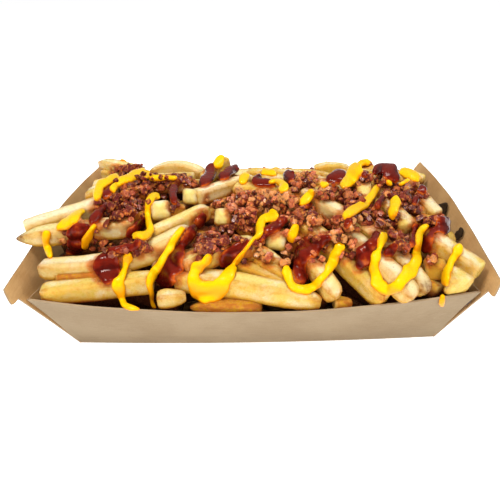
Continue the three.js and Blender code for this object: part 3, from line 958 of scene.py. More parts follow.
        # Each face is a grid. The cut edge has points of its own, so that its paler colour ends sharply.
        points = np.concatenate([(outer + normal * offset).reshape(-1, 3) for offset in (0.0, self.card)])
        width, layer = columns + 1, (rows + 1) * (columns + 1)
        faces = []
        for row in range(rows):
            for column in range(columns):
                a = row * width + column
                faces.append((a, a + width, a + width + 1, a + 1))
                faces.append((layer + a, layer + a + 1, layer + a + width + 1, layer + a + width))
        border = [(c, c + 1) for c in range(columns)]
        border += [(row * width + columns, (row + 1) * width + columns) for row in range(rows)]
        border += [(rows * width + c + 1, rows * width + c) for c in reversed(range(columns))]
        border += [((row + 1) * width, row * width) for row in reversed(range(rows))]
        edge_points: list = []
        edge_faces = []
        count = len(points)
        for start, stop in border:
            corner = count + len(edge_points)
            edge_points += [points[start], points[stop], points[layer + stop], points[layer + start]]
            edge_faces.append((corner, corner + 1, corner + 2, corner + 3))
        faces += edge_faces
        points = np.concatenate([points, np.array(edge_points)])
        if inwards < 0:
            faces = [tuple(reversed(face)) for face in faces]
        inner = np.concatenate([np.zeros(layer), np.ones(layer), np.full(len(edge_points), 0.5)])
        cut = np.concatenate([np.zeros(2 * layer), np.ones(len(edge_points))])
        height = points[:, 2] / self.side_height
        greasy = inner * np.clip(self.grease_height - height, 0, 1) * (cut < 0.5)
        return Shell(points, faces, {"inner": inner, "cut": cut, "greasy": greasy})

    @staticmethod
    def mirrored(shell: Shell, across: int, back: int) -> Shell:
        """Mirrors a panel.

        Args:
            shell: the panel.
            across: -1 to mirror it left to right, otherwise 1.
            back: -1 to mirror it front to back, otherwise 1.

        Returns:
            The mirrored panel, its faces still pointing outwards.
        """
        points = shell.points * np.array([across, back, 1])
        faces = shell.faces if across * back > 0 else [tuple(reversed(face)) for face in shell.faces]
        return Shell(points, faces, shell.values)

    def uneven(self, points: np.ndarray) -> np.ndarray:
        """Gives the panels the slight waves of a loaded tray, none at its base.

        Args:
            points: the tray's points.

        Returns:
            The points, moved.
        """
        x, y, z = points.T
        rise = np.clip(z / self.side_height, 0, 1)
        wave, sway = (
            sum(np.sin(x * along + y * across + start) * height for along, across, start, height in waves)
            for waves in (self.side_waves, self.end_waves)
        )
        moved = points.copy()
        moved[:, 1] += self.warp * rise * wave * np.sign(y)
        moved[:, 0] += self.warp * rise * sway * np.sign(x)
        return moved

    def build(self, finish: KraftCardFinish) -> bpy.types.Object:
        """Builds and dresses the tray.

        Args:
            finish: its looks.

        Returns:
            The tray.
        """
        side = self.sheet(self.side_point, self.steps_up, self.side_steps)
        end = self.sheet(self.end_point, self.steps_up, self.end_steps)
        corner = [
            self.sheet(self.ear_point, self.steps_up, self.ear_steps),
            self.sheet(self.gusset_point, self.steps_up, self.ear_steps),
            self.sheet(self.flap_point, self.steps_up, self.flap_steps),
        ]
        panels = [self.sheet(self.base_point, self.flap_steps, self.side_steps, 1)]
        panels += [side, self.mirrored(side, 1, -1), end, self.mirrored(end, -1, 1)]
        for across in (1, -1):
            for back in (1, -1):
                panels += [self.mirrored(piece, across, back) for piece in corner]
        whole = joined(panels)
        whole.points = self.uneven(whole.points)
        made = whole.object("card_tray")
        made.data.shade_flat()
        wear(made, finish.make())
        hand_over(made, "kraft_card", "tray")
        return made

    def hold(self, points: np.ndarray) -> np.ndarray:
        """Draws points of the food that would reach into the card back inside the tray.

        Args:
            points: the food's points.

        Returns:
            The points, clear of the base, sides and ends wherever they are below the rim.
        """
        x, y, z = points.T.copy()
        gap = self.card + self.food_gap
        z = np.maximum(z, gap)
        for _ in range(2):
            lift = np.clip(z / self.side_height, 0, 1.2)
            half_length = self.base_half_length + (self.side_half_length - self.base_half_length) * lift
            across = np.clip(x / half_length, -1, 1)
            bulge = 1 - across * across
            rim = self.side_height - self.side_sag * bulge
            share = np.clip(z / rim, 0, 1)
            foot = self.base_half_width + self.base_bow * bulge
            reach = self.side_half_width + self.side_bow * bulge
            wall = foot + (reach - foot) * share - gap * self.side_slant
            free = np.clip((z - rim) / self.free_height, 0, 1) * self.free_reach
            y = np.clip(y, -wall - free, wall + free)
            spread = np.clip(y / self.end_half_width, -1, 1)
            top = self.end_height + self.end_rise * (1 - spread * spread)
            share = np.clip(z / top, 0, 1)
            reach = self.end_half_length + self.end_bow * (1 - spread * spread)
            wall = self.base_half_length + (reach - self.base_half_length) * share
            wall -= (gap + self.card) * self.end_slant
            free = np.clip((z - top) / self.free_height, 0, 1) * self.free_reach
            x = np.clip(x, -wall - free, wall + free)
        return np.stack([x, y, z], -1)


# The heap of fries


class Draws:
    """The short repeatable random sequence that also lays the solid heap's fries."""

    def __init__(self, seed: int) -> None:
        """Starts the sequence."""
        self.state = seed

    def next(self) -> float:
        """The next number, 0 to 1."""
        self.state = (self.state * 1664525 + 1013904223) % 4294967296
        return self.state / 4294967296

    def spread(self) -> float:
        """The next number, -1 to 1."""
        return 2 * self.next() - 1


@dataclass(frozen=True)
class HeapShape:
    """The heap's top surface: highest along its middle, lower and flatter at its ends."""

    crest: float = 61
    crest_y: float = 5
    front_fall: float = 25
    front_run: float = 85
    end_drop: float = 6
    end_flatter: float = 11
    end_run: float = 110

    def height(self, x: np.ndarray | float, y: np.ndarray | float) -> np.ndarray | float:
        """How high the surface is.

        Args:
            x: places along the tray.
            y: places across it.

        Returns:
            The surface's height over each place.
        """
        run = (y - self.crest_y) / self.front_run
        out = np.abs(x) / self.end_run
        return self.crest - self.end_drop * out**3 - (self.front_fall - self.end_flatter * out**2) * run * run


class FryEnd(Enum):
    """How a fry ends: for each, how far from its tip its girth is taken, and the girth there."""

    CUT = ((0, 0.4), (0.25, 0.7), (0.8, 0.89), (1.9, 1.0))
    BLUNT = ((0, 0.3), (0.4, 0.58), (1.1, 0.8), (2.2, 0.93), (3.8, 1.0))
    ROUND = ((0, 0.25), (0.4, 0.55), (1.4, 0.80), (3.2, 0.94), (6.0, 1.0))
    POINT = ((0, 0.12), (1.5, 0.30), (5.0, 0.56), (10.0, 0.82), (16.0, 1.0))
    CHISEL = ((0, 0.30), (0.3, 0.50), (4.0, 0.76), (9.0, 0.93), (14.0, 1.0))
    WEDGE = ((0, 0.15), (0.3, 0.22), (5.0, 0.52), (10.0, 0.84), (13.0, 1.0))

    def paleness(self) -> float:
        """How pale the crumb shows at this end: most where a knife left a blunt face."""
        return {FryEnd.BLUNT: 1.0, FryEnd.CUT: 0.45}.get(self, 0.0)

    def browning(self) -> float:
        """How much this end browns: little where the crumb shows."""
        return 0.25 if self.paleness() else 1.0


@dataclass(frozen=True)
class Fry:
    """One fry, between the middles of its two ends.

    Args:
        start: the middle of its first end.
        stop: the middle of its other end.
        side: its thickness.
        bow: how far its middle rises.
        sway: how far its middle moves sideways.
        roll: its turn about its own length, in degrees.
        first: the shape of its first end.
        last: the shape of its other end.
        tone: from 0, pale, to 1, dark brown.
        flat: its height as a share of its width.
        scorch: how dark its first and its last end are.
    """

    start: Point
    stop: Point
    side: float
    bow: float = 0
    sway: float = 0
    roll: float = 0
    first: FryEnd = FryEnd.CUT
    last: FryEnd = FryEnd.CUT
    tone: float = 0.2
    flat: float = 1.0
    scorch: tuple[float, float] = (0, 0)


PLACED_FRIES = (
    # front left, along the rim
    Fry((-101, -69.5, 40), (-49, -64, 43.2), 9.8, first=FryEnd.ROUND, tone=0.3),
    Fry(
        (-104, -58, 48), (-32, -38, 57), 9.5, bow=-3, sway=-8, first=FryEnd.ROUND, last=FryEnd.ROUND, tone=0.1
    ),
    Fry((-95, -62, 44), (-60, -61, 45), 7, tone=0.95),
    Fry((-45.5, -75.5, 40), (-32, -73, 40), 7.8, first=FryEnd.ROUND, last=FryEnd.CHISEL, tone=0.2),
    # front middle
    Fry((-38, -64, 44), (31, -77, 38), 10.2, bow=2, last=FryEnd.CHISEL, tone=0.25),
    Fry((-30, -75, 35), (4, -76, 35), 8, first=FryEnd.POINT, last=FryEnd.ROUND, tone=0.85),
    Fry((-34, -62, 50), (1, -50, 54), 9.6, bow=1, last=FryEnd.ROUND, tone=0.2),
    Fry((-13, -53, 45), (16, -68, 42), 8, tone=0.6),
    Fry((-4, -48, 50), (15, -60, 49), 8.4, last=FryEnd.POINT, tone=0.3),
    Fry((1, -52, 46), (22, -70, 43), 8.6, last=FryEnd.CHISEL, tone=0.6),
    # over the left end panel
    Fry((-119, -34, 55.5), (-82, -13, 60), 9.8, roll=8, tone=0.05),
    Fry((-120, -43, 56), (-62, -33, 57), 9.8, first=FryEnd.POINT, tone=0.15, scorch=(0.9, 0)),
    Fry((-102.5, 13, 52), (-74, 22, 57), 9, first=FryEnd.ROUND, tone=0.5),
    # cut ends that face the eater
    Fry((-51, -21, 60), (-58, 10, 44), 10.8, first=FryEnd.BLUNT, tone=0),
    Fry((-38, -6, 61), (-34, 27, 45), 9, first=FryEnd.BLUNT, tone=0.1),
    Fry((-17, -29, 59), (-13, 1, 44), 9.6, first=FryEnd.BLUNT, tone=0.15),
    Fry((10, -48, 55), (17, -17, 42), 10.4, first=FryEnd.BLUNT, tone=0.05),
    Fry((-52, -39, 53.5), (-26, -15, 57), 9.6, last=FryEnd.ROUND, tone=0.2, flat=0.9),
    # back
    Fry((-110, 73, 52.5), (-78, 54, 51.5), 9, first=FryEnd.CHISEL, tone=0.2),
    Fry((-108, 68, 46.5), (-74, 58, 45), 8.6, tone=0.35),
    Fry((-71, 60, 49), (-38, 52, 50), 9, bow=5, tone=0.1),
    Fry((-35, -3, 58.5), (-3, 27, 57), 9, tone=0.1),
    Fry((-34, 34, 54), (-21, 53, 60), 8, tone=0.3),
    Fry((-14, 68, 42), (24, 70, 40), 9, tone=0.3),
    Fry((34, 70, 42), (62, 70, 42), 9, tone=0.6),
    Fry((37, 57, 50), (60, 56, 50), 8, bow=2, tone=0.4),
    Fry((94, 56, 49), (108, 46, 46), 8, tone=0.4),
    # right, pointing down towards the eater
    Fry((27, -3, 60.5), (62, -46, 54), 9.6, tone=0),
    Fry((58, -40, 54), (80, -76, 41), 8.8, bow=3, last=FryEnd.ROUND, tone=0.08, scorch=(0, 0.7)),
    Fry((43, -40, 55), (72, -83, 43.2), 9.5, bow=3, last=FryEnd.ROUND, tone=0.08),
    Fry((25, -32, 56), (61, -78, 39), 10, bow=1, last=FryEnd.ROUND, tone=0.42),
    Fry((26, -54, 51), (38, -78, 41), 9, last=FryEnd.ROUND, tone=0.15),
    Fry((37, -76, 36.5), (46, -75, 36), 6.6, last=FryEnd.CHISEL, tone=0.75),
    Fry((69, -13, 59), (78, -39, 55), 9.8, tone=0.3),
    Fry((63, 14, 59), (61, -10, 57), 9, tone=0.2),
    # right corner
    Fry((88, -48, 54), (107, -67, 47), 9.8, last=FryEnd.CUT, tone=0.25),
    Fry((93, -65, 50), (95.5, -76.5, 44.5), 12, first=FryEnd.WEDGE, tone=0.3),
    Fry((82, -61, 46), (93, -62, 46), 9, tone=0.6),
    Fry((93.5, -2.5, 56), (98.5, -19.5, 53.5), 8.8, tone=0.05),
)


@dataclass
class FryHeap:
    """The fries: the ones that show, the ones that fill the heap, and darker layers packed below them, all
    with painted shade that grows with depth.
    """

    tray: CardTray
    shape: HeapShape
    fill_count: int = 36
    fill_tries: int = 3000
    side_min: float = 7.6
    side_max: float = 9.6
    length_min: float = 40
    length_max: float = 68
    turn_left: float = 20
    turn_right: float = -45
    turn_spread: float = 30
    roll_spread: float = 25
    sink: float = 4
    space: float = 7.5
    samples: int = 7
    overlaps: int = 3
    wall_gap: float = 2
    ring_gap: float = 1.5
    top_sides: int = 28
    below_ring_gap: float = 3.2
    below_sides: int = 16
    layer_depths: tuple[float, ...] = (12, 20)
    layer_counts: tuple[int, ...] = (90, 70)
    layer_uneven: float = 3
    layer_tone: float = 0.35
    layer_tone_spread: float = 0.5
    lit_depth: float = 3.5
    dark_depth: float = 7
    open_darkness: float = 0.3
    cover_weight: float = 1.4
    stain_reach: float = 6
    stain_fall: float = 1.2
    stain_skip: int = 3
    corner_share: float = 0.37
    sunken: float = 0.05
    warp: float = 2.2
    lumps: float = 0.55
    pits: float = 0.22
    hollow_clouds: float = 150
    warp_clouds: float = 24
    lump_clouds: float = 95
    pit_clouds: float = 420
    end_room: float = 0.92
    browned_length: float = 5
    crumb_length: float = 1.6
    scorch_length: float = 9
    apart_along: float = 7.3
    right_reach: float = 97
    step_back: float = 2
    most_steps_back: int = 5
    bows: tuple[float, float] = (-1, 1.5)
    sways: tuple[float, float] = (-2, 2)
    tones: tuple[float, float] = (1.3, 3.2)
    stick_gap: float = 1
    stick_height: float = 4
    looks_up: tuple[tuple[float, float], ...] = ((0, 0), (0.7, 0), (-0.7, 0), (0, 0.7), (0, -0.7))

    def room(self) -> tuple[float, float]:
        """Measures the space inside the tray at the side rims' height.

        Returns:
            Its half length and half width.
        """
        share = self.tray.side_height / self.tray.end_height
        half_length = self.tray.base_half_length
        half_length += (self.tray.end_half_length - self.tray.base_half_length) * share
        return half_length, self.tray.side_half_width

    @staticmethod
    def apart(x: float, y: float, fry: Fry) -> float:
        """How far a point is from a fry, seen from above.

        Args:
            x: the point's place along the tray.
            y: its place across it.
            fry: the fry.

        Returns:
            The distance to the line between the fry's ends.
        """
        run_x, run_y = fry.stop[0] - fry.start[0], fry.stop[1] - fry.start[1]
        share = ((x - fry.start[0]) * run_x + (y - fry.start[1]) * run_y) / (run_x**2 + run_y**2)
        share = min(max(share, 0), 1)
        return math.hypot(x - fry.start[0] - share * run_x, y - fry.start[1] - share * run_y)

    def dropped(self, draws: Draws, sink: float) -> Fry:
        """Drops one fry at random on the heap.

        Args:
            draws: the random source.
            sink: how far below the heap's surface its ends lie.

        Returns:
            The fry.
        """
        half_length, half_width = self.room()
        side = self.side_min + (self.side_max - self.side_min) * draws.next()
        half = 0.5 * (self.length_min + (self.length_max - self.length_min) * draws.next())
        limit_x = half_length - side / 2 - self.wall_gap
        limit_y = half_width - side / 2 - self.wall_gap
        x, y = limit_x * draws.spread(), limit_y * draws.spread()
        share = 0.5 + 0.5 * x / limit_x
        turn = self.turn_left + (self.turn_right - self.turn_left) * share + self.turn_spread * draws.spread()
        roll = self.roll_spread * draws.spread()
        lift = draws.spread()
        ends = []
        for reach in (-half, half):
            end_x = min(max(x + reach * math.cos(math.radians(turn)), -limit_x), limit_x)
            end_y = min(max(y + reach * math.sin(math.radians(turn)), -limit_y), limit_y)
            ends.append((end_x, end_y, float(self.shape.height(end_x, end_y)) - sink + lift))
        return Fry(ends[0], ends[1], side, roll=roll)

    def fill(self) -> list[Fry]:
        """Lays the fries that fill the rest of the top.

        Returns:
            The fries, kept where they lie mostly on bare heap.
        """
        draws = Draws(SEED)
        kept: list[Fry] = []
        for _ in range(self.fill_tries):
            if len(kept) == self.fill_count:
                break
            fry = self.dropped(draws, self.sink)
            over = 0
            for sample in range(self.samples):
                along = (sample + 0.5) / self.samples
                x = fry.start[0] + (fry.stop[0] - fry.start[0]) * along
                y = fry.start[1] + (fry.stop[1] - fry.start[1]) * along
                over += any(self.apart(x, y, other) < self.space for other in (*PLACED_FRIES, *kept))
            if over <= self.overlaps:
                kept.append(fry)
        toned = np.random.default_rng(LOOKS_SEED)
        ends = (FryEnd.CUT, FryEnd.CUT, FryEnd.ROUND, FryEnd.CHISEL)
        kept = [Fry(*self.drawn_back(fry), fry.side, roll=fry.roll) for fry in kept]
        return [
            Fry(
                fry.start, self.short_of_the_end(fry), fry.side,
                bow=toned.uniform(*self.bows), sway=toned.uniform(*self.sways), roll=fry.roll,
                first=ends[toned.integers(4)], last=ends[toned.integers(4)], tone=toned.beta(*self.tones),
            )
            for fry in kept
        ]

    def sticks_in(self, end: np.ndarray) -> bool:
        """Whether a fry that ends here would stick in the side of one of the placed fries.

        Args:
            end: the middle of its end.

        Returns:
            Whether it would.
        """
        for other in PLACED_FRIES:
            start, run = np.array(other.start), np.array(other.stop) - other.start
            share = min(max(float((end - start) @ run / (run @ run)), 0), 1)
            beside = self.apart(end[0], end[1], other) < other.side / 2 + self.stick_gap
            if beside and abs(start[2] + share * run[2] - end[2]) < self.stick_height:
                return True
        return False

    def drawn_back(self, fry: Fry) -> tuple[Point, Point]:
        """Draws a fry's ends back along it until they are out of the placed fries' sides.

        Args:
            fry: the fry.

        Returns:
            Its new ends.
        """
        start, stop = np.array(fry.start), np.array(fry.stop)
        step = (stop - start) / np.linalg.norm(stop - start) * self.step_back
        for _ in range(self.most_steps_back):
            if self.sticks_in(start):
                start = start + step
            if self.sticks_in(stop):
                stop = stop - step
        return tuple(start.tolist()), tuple(stop.tolist())

    def short_of_the_end(self, fry: Fry) -> Point:
        """Where a fry stops, drawn back where it would hide the inside of the right end panel.

        Args:
            fry: the fry.

        Returns:
            The middle of its last end.
        """
        start, stop = np.array(fry.start), np.array(fry.stop)
        if stop[0] <= self.right_reach:
            return fry.stop
        return tuple((start + (stop - start) * (self.right_reach - start[0]) / (stop[0] - start[0])).tolist())

    def layers(self) -> list[Fry]:
        """Packs the fries below, which show in the gaps.

        Returns:
            The fries, darker than the top ones.
        """
        draws = Draws(SEED + 1)
        packed = []
        for depth, count in zip(self.layer_depths, self.layer_counts):
            for _ in range(count):
                fry = self.dropped(draws, depth + self.layer_uneven * draws.spread())
                tone = self.layer_tone + self.layer_tone_spread * draws.next()
                packed.append(Fry(fry.start, fry.stop, fry.side, roll=fry.roll, tone=tone))
        return packed

    def centreline(self, fry: Fry, ring_gap: float) -> tuple[np.ndarray, dict[str, np.ndarray]]:
        """A fry's middle line with its girth and looks at each step.

        Args:
            fry: the fry.
            ring_gap: how far apart the steps are.

        Returns:
            The line's points, and for each point its girth and its looks.
        """
        start, stop = np.array(fry.start, float), np.array(fry.stop, float)
        length = float(np.linalg.norm(stop - start))
        along = (stop - start) / length
        level = np.cross(along, [0, 0, 1])
        level /= np.linalg.norm(level)
        above = np.cross(level, along)
        fit = min(1, self.end_room * length / (fry.first.value[-1][0] + fry.last.value[-1][0]))
        first = [at * fit for at, _ in fry.first.value]
        last = [length - at * fit for at, _ in fry.last.value]
        steps = max(2, round((last[-1] - first[-1]) / ring_gap))
        middle = np.linspace(first[-1], last[-1], steps + 1)[1:-1]
        distance = np.array([*first, *middle, *reversed(last)])
        girth = np.concatenate(
            [[g for _, g in fry.first.value], np.ones(len(middle)), [g for _, g in reversed(fry.last.value)]]
        )
        share = distance / length
        arch = 4 * share * (1 - share)
        line = start + distance[:, None] * along + arch[:, None] * (above * fry.bow - level * fry.sway)
        first_end = np.clip(1 - distance / self.browned_length, 0, 1) * fry.first.browning()
        last_end = np.clip(1 - (length - distance) / self.browned_length, 0, 1) * fry.last.browning()
        ones = np.ones(len(distance))
        from_start = np.clip(1 - distance / self.scorch_length, 0, 1)
        from_stop = np.clip(1 - (length - distance) / self.scorch_length, 0, 1)
        scorched = np.maximum(from_start * (fry.scorch[0] > 0), from_stop * (fry.scorch[1] > 0))
        looks = {
            "along": (distance + self.apart_along * start[1]) * METRES,
            "scorch": fry.scorch[0] * from_start + fry.scorch[1] * from_stop,
            "girth": girth * fry.side / 2 * METRES,
            "roll": ones * math.radians(fry.roll),
            "tone": ones * fry.tone,
            "flat": ones * fry.flat,
            "end": np.maximum.reduce([first_end, last_end, scorched]),
            "cut_end": np.maximum(
                fry.first.paleness() * np.clip(1 - distance / self.crumb_length, 0, 1),
                fry.last.paleness() * np.clip(1 - (length - distance) / self.crumb_length, 0, 1),
            ),
        }
        return line, looks

    def recipe(self, material: bpy.types.Material) -> Recipe:
        """Makes the tree that turns centrelines into fries.

        Args:
            material: what they wear.

        Returns:
            The tree: a rounded square swept along each line, then made uneven.
        """
        r = Recipe("fries_along_lines")
        sides = r.input("Section Points", "NodeSocketInt")
        corner, hollow, warp, lump, pits = (
            r.input(name) for name in ("Corner Radius", "Sunken Faces", "Warp", "Lumps", "Pits")
        )
        curve = r.add("GeometryNodeMeshToCurve", {"Mesh": r.source.outputs["Geometry"]})
        curve = r.add("GeometryNodeSetCurveNormal", {"Curve": curve}, mode="Z_UP")
        curve = r.add("GeometryNodeSetCurveTilt", {"Curve": curve, "Tilt": r.value("roll")})
        section = r.add("GeometryNodeCurvePrimitiveQuadrilateral", {"Width": 2.0, "Height": 2.0})
        rounding = {"Count": 6, "Radius": corner}
        section = r.add("GeometryNodeFilletCurve", {"Curve": section, **rounding}, mode="POLY")
        section = r.add("GeometryNodeResampleCurve", {"Curve": section, "Count": sides}, mode="COUNT")
        to_corner = {"Value": r.length(r.place()), "From Min": 1.0, "From Max": 1.22}
        section = r.kept(section, "corner", r.add("ShaderNodeMapRange", to_corner))
        curve = r.kept(curve, "middle", r.place(), "FLOAT_VECTOR")
        upright = r.add("GeometryNodeInputNormal")
        curve = r.kept(curve, "upright", upright, "FLOAT_VECTOR")
        beside = r.vectors("CROSS_PRODUCT", upright, r.add("GeometryNodeInputTangent"))
        curve = r.kept(curve, "beside", beside, "FLOAT_VECTOR")
        swept = r.add(
            "GeometryNodeCurveToMesh",
            {"Curve": curve, "Profile Curve": section, "Scale": r.value("girth"), "Fill Caps": True},
        )
        out = r.vectors("SUBTRACT", r.place(), r.value("middle", "FLOAT_VECTOR"))
        upright, beside = r.value("upright", "FLOAT_VECTOR"), r.value("beside", "FLOAT_VECTOR")
        lift = r.vectors("DOT_PRODUCT", out, upright, "Value")
        wide = r.vectors("DOT_PRODUCT", out, beside, "Value")
        own = r.scaled(r.add("ShaderNodeCombineXYZ", {0: r.value("along"), 1: wide, 2: lift}), 1 / METRES)
        swept = r.kept(swept, "own_place", own, "FLOAT_VECTOR")
        squash = r.scaled(upright, r.times(lift, r.maths("SUBTRACT", r.value("flat"), 1.0)))
        face = r.maths("SUBTRACT", 1.0, r.value("corner"))
        sink = r.scaled(out, r.times(r.times(r.noise(self.hollow_clouds, 1), hollow), r.times(face, -1.0)))
        swept = r.moved(swept, r.vectors("ADD", squash, sink))
        swept = r.moved(swept, r.drift(r.noise(self.warp_clouds, 1, "Color"), warp))
        swept = r.roughened(swept, (self.lump_clouds, lump), (self.pit_clouds, pits))
        swept = r.add("GeometryNodeSetShadeSmooth", {"Geometry": swept, "Shade Smooth": True})
        r.finish(swept, material)
        return r

    def lay(
        self, name: str, fries: Sequence[Fry], recipe: Recipe, sides: int, ring_gap: float
    ) -> bpy.types.Object:
        """Makes one piece of several fries.

        Args:
            name: the piece's name.
            fries: the fries in it.
            recipe: the tree that shapes them.
            sides: points round each fry.
            ring_gap: how far apart the rings along it are.

        Returns:
            The piece, kept inside the tray.
        """
        lines, edges = [], []
        looks: dict[str, list[np.ndarray]] = {}
        start = 0
        for fry in fries:
            line, values = self.centreline(fry, ring_gap)
            edges += [(start + step, start + step + 1) for step in range(len(line) - 1)]
            start += len(line)
            lines.append(line)
            for key, value in values.items():
                looks.setdefault(key, []).append(value)
        mesh = bpy.data.meshes.new(name)
        mesh.from_pydata((np.concatenate(lines) * METRES).tolist(), edges, [])
        made = put_in_scene(name, mesh)
        for key, value in looks.items():
            keep_value(made, key, np.concatenate(value))
        settings = {"Section Points": sides, "Corner Radius": self.corner_share, "Sunken Faces": self.sunken}
        uneven = {"Warp": self.warp * METRES, "Lumps": self.lumps * METRES, "Pits": self.pits * METRES}
        recipe.apply(made, **settings, **uneven)
        points = self.tray.hold(points_of(made))
        move_points(made, points)
        # Painted shade by how far each point lies below the heap's surface.
        keep_value(made, "depth_shade", self.darkness(points))
        return made

    def darkness(self, points: np.ndarray) -> np.ndarray:
        """How much painted shade points of the fries get by their depth: 0 near the heap's surface, 1 far
        below.
        """
        below = self.shape.height(points[:, 0], points[:, 1]) - points[:, 2]
        return np.clip((below - self.lit_depth) / self.dark_depth, 0, 1)

    def uncover(self, below: bpy.types.Object, top: bpy.types.Object) -> None:
        """Takes back the painted shade on the lower fries wherever no top fry covers them.

        Args:
            below: the lower fries.
            top: the top fries.
        """
        points = points_of(below)
        cover = Ground([top])
        covered = np.zeros(len(points))
        for across, along in self.looks_up:
            direction = np.array([across, along, 1.0]) / math.sqrt(across**2 + along**2 + 1)
            covered += ~np.isnan(cover.reach(points, np.tile(direction, (len(points), 1))))
        cover_share = np.clip(self.cover_weight * covered / len(self.looks_up), 0, 1)
        share = self.open_darkness + (1 - self.open_darkness) * cover_share
        keep_value(below, "depth_shade", self.darkness(points) * share)

    def stain(self, made: bpy.types.Object, toppings: Iterable[bpy.types.Object]) -> None:
        """Keeps how near each point of the fries is to what soaks into them.

        Args:
            made: the fries.
            toppings: the bacon and sauces.
        """
        tree = KDTree(sum(len(piece.data.vertices) for piece in toppings))
        count = 0
        for piece in toppings:
            for point in points_of(piece)[::self.stain_skip].tolist():
                tree.insert(point, count)
                count += 1
        tree.balance()
        away = np.array([tree.find(point)[2] for point in points_of(made).tolist()])
        keep_value(made, "sauced", np.clip(1 - away / self.stain_reach, 0, 1) ** self.stain_fall)

    def build(self, finish: FriedPotatoFinish) -> list[bpy.types.Object]:
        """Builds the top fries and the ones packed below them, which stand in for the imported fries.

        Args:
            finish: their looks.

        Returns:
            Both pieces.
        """
        recipe = self.recipe(finish.make())
        top = self.lay("top_fries", [*PLACED_FRIES, *self.fill()], recipe, self.top_sides, self.ring_gap)
        below = self.lay("fries_below", self.layers(), recipe, self.below_sides, self.below_ring_gap)
        self.uncover(below, top)
        hand_over(top, "fried_potato", "fries")
        hand_over(below, "fried_potato", "fries")
        return [top, below]


# What lies on the fries


class Ground:
    """The surface that toppings land on: any number of finished pieces."""

    def __init__(self, pieces: Iterable[bpy.types.Object]) -> None:
        """Gathers the pieces' faces, in millimetres.

        Args:
            pieces: the pieces.
        """
        points: list = []
        faces: list = []
        for piece in pieces:
            start = len(points)
            points += points_of(piece).tolist()
            faces += [tuple(start + corner for corner in face.vertices) for face in piece.data.polygons]
        self.search = BVHTree.FromPolygons(points, faces)

    def reach(self, starts: np.ndarray, directions: np.ndarray) -> np.ndarray:
        """Follows rays down to the surface.

        Args:
            starts: where they start.
            directions: their unit directions.

        Returns:
            How far each goes before it lands, or nan where it misses.
        """
        found = np.full(len(starts), np.nan)
        for index, (start, direction) in enumerate(zip(starts.tolist(), directions.tolist())):
            distance = self.search.ray_cast(start, direction)[3]
            if distance is not None:
                found[index] = distance
        return found

    def bake_occlusion_shade(
        self, made: bpy.types.Object, reach: float = 12, rays: int = 12, clear: float = 0.25,
        fading: float = 0.6,
    ) -> None:
        """Keeps how much of the view from each of a piece's points is blocked close by, for the materials to
        paint as shade.

        Args:
            made: the piece.
            reach: how near, in millimetres, something is to block the view.
            rays: how many directions are tried.
            clear: how far off the surface they start, in millimetres.
            fading: how much less something counts at the full reach.
        """
        spin = np.arange(rays) * math.pi * (3 - math.sqrt(5))
        rise = np.sqrt((np.arange(rays) + 0.5) / rays)
        flat = np.sqrt(1 - rise**2)
        fan = np.column_stack([flat * np.cos(spin), flat * np.sin(spin), rise])
        points = points_of(made)
        normals = np.array([corner.normal[:] for corner in made.data.vertices])
        blocked = np.zeros(len(points))
        side = np.cross(normals, ASKEW)
        side /= np.linalg.norm(side, axis=1)[:, None]
        other = np.cross(normals, side)
        starts = (points + normals * clear).tolist()
        for across, along, up in fan:
            directions = (side * across + other * along + normals * up).tolist()
            for index, (start, direction) in enumerate(zip(starts, directions)):
                distance = self.search.ray_cast(start, direction, reach)[3]
                if distance is not None:
                    blocked[index] += 1 - fading * distance / reach
        keep_value(made, "occlusion_shade", blocked / rays)

    def depth(self, points: np.ndarray) -> np.ndarray:
        """How far each point is from the surface."""
        nearest = (self.search.find_nearest(point)[3] for point in points.tolist())
        return np.array([0.0 if distance is None else distance for distance in nearest])


class Pour(Enum):
    """How a strand's route is given."""

    PICTURE = "as the picture shows it: points across, points down, and width in points"
    PLAN = "as seen from above: x, y and width in millimetres"


@dataclass(frozen=True)
class Strand:
    """One strand of sauce: where it runs, and its width at each point of its route."""

    where: str
    route: tuple[tuple[float, float, float], ...]
    pour: Pour = Pour.PICTURE


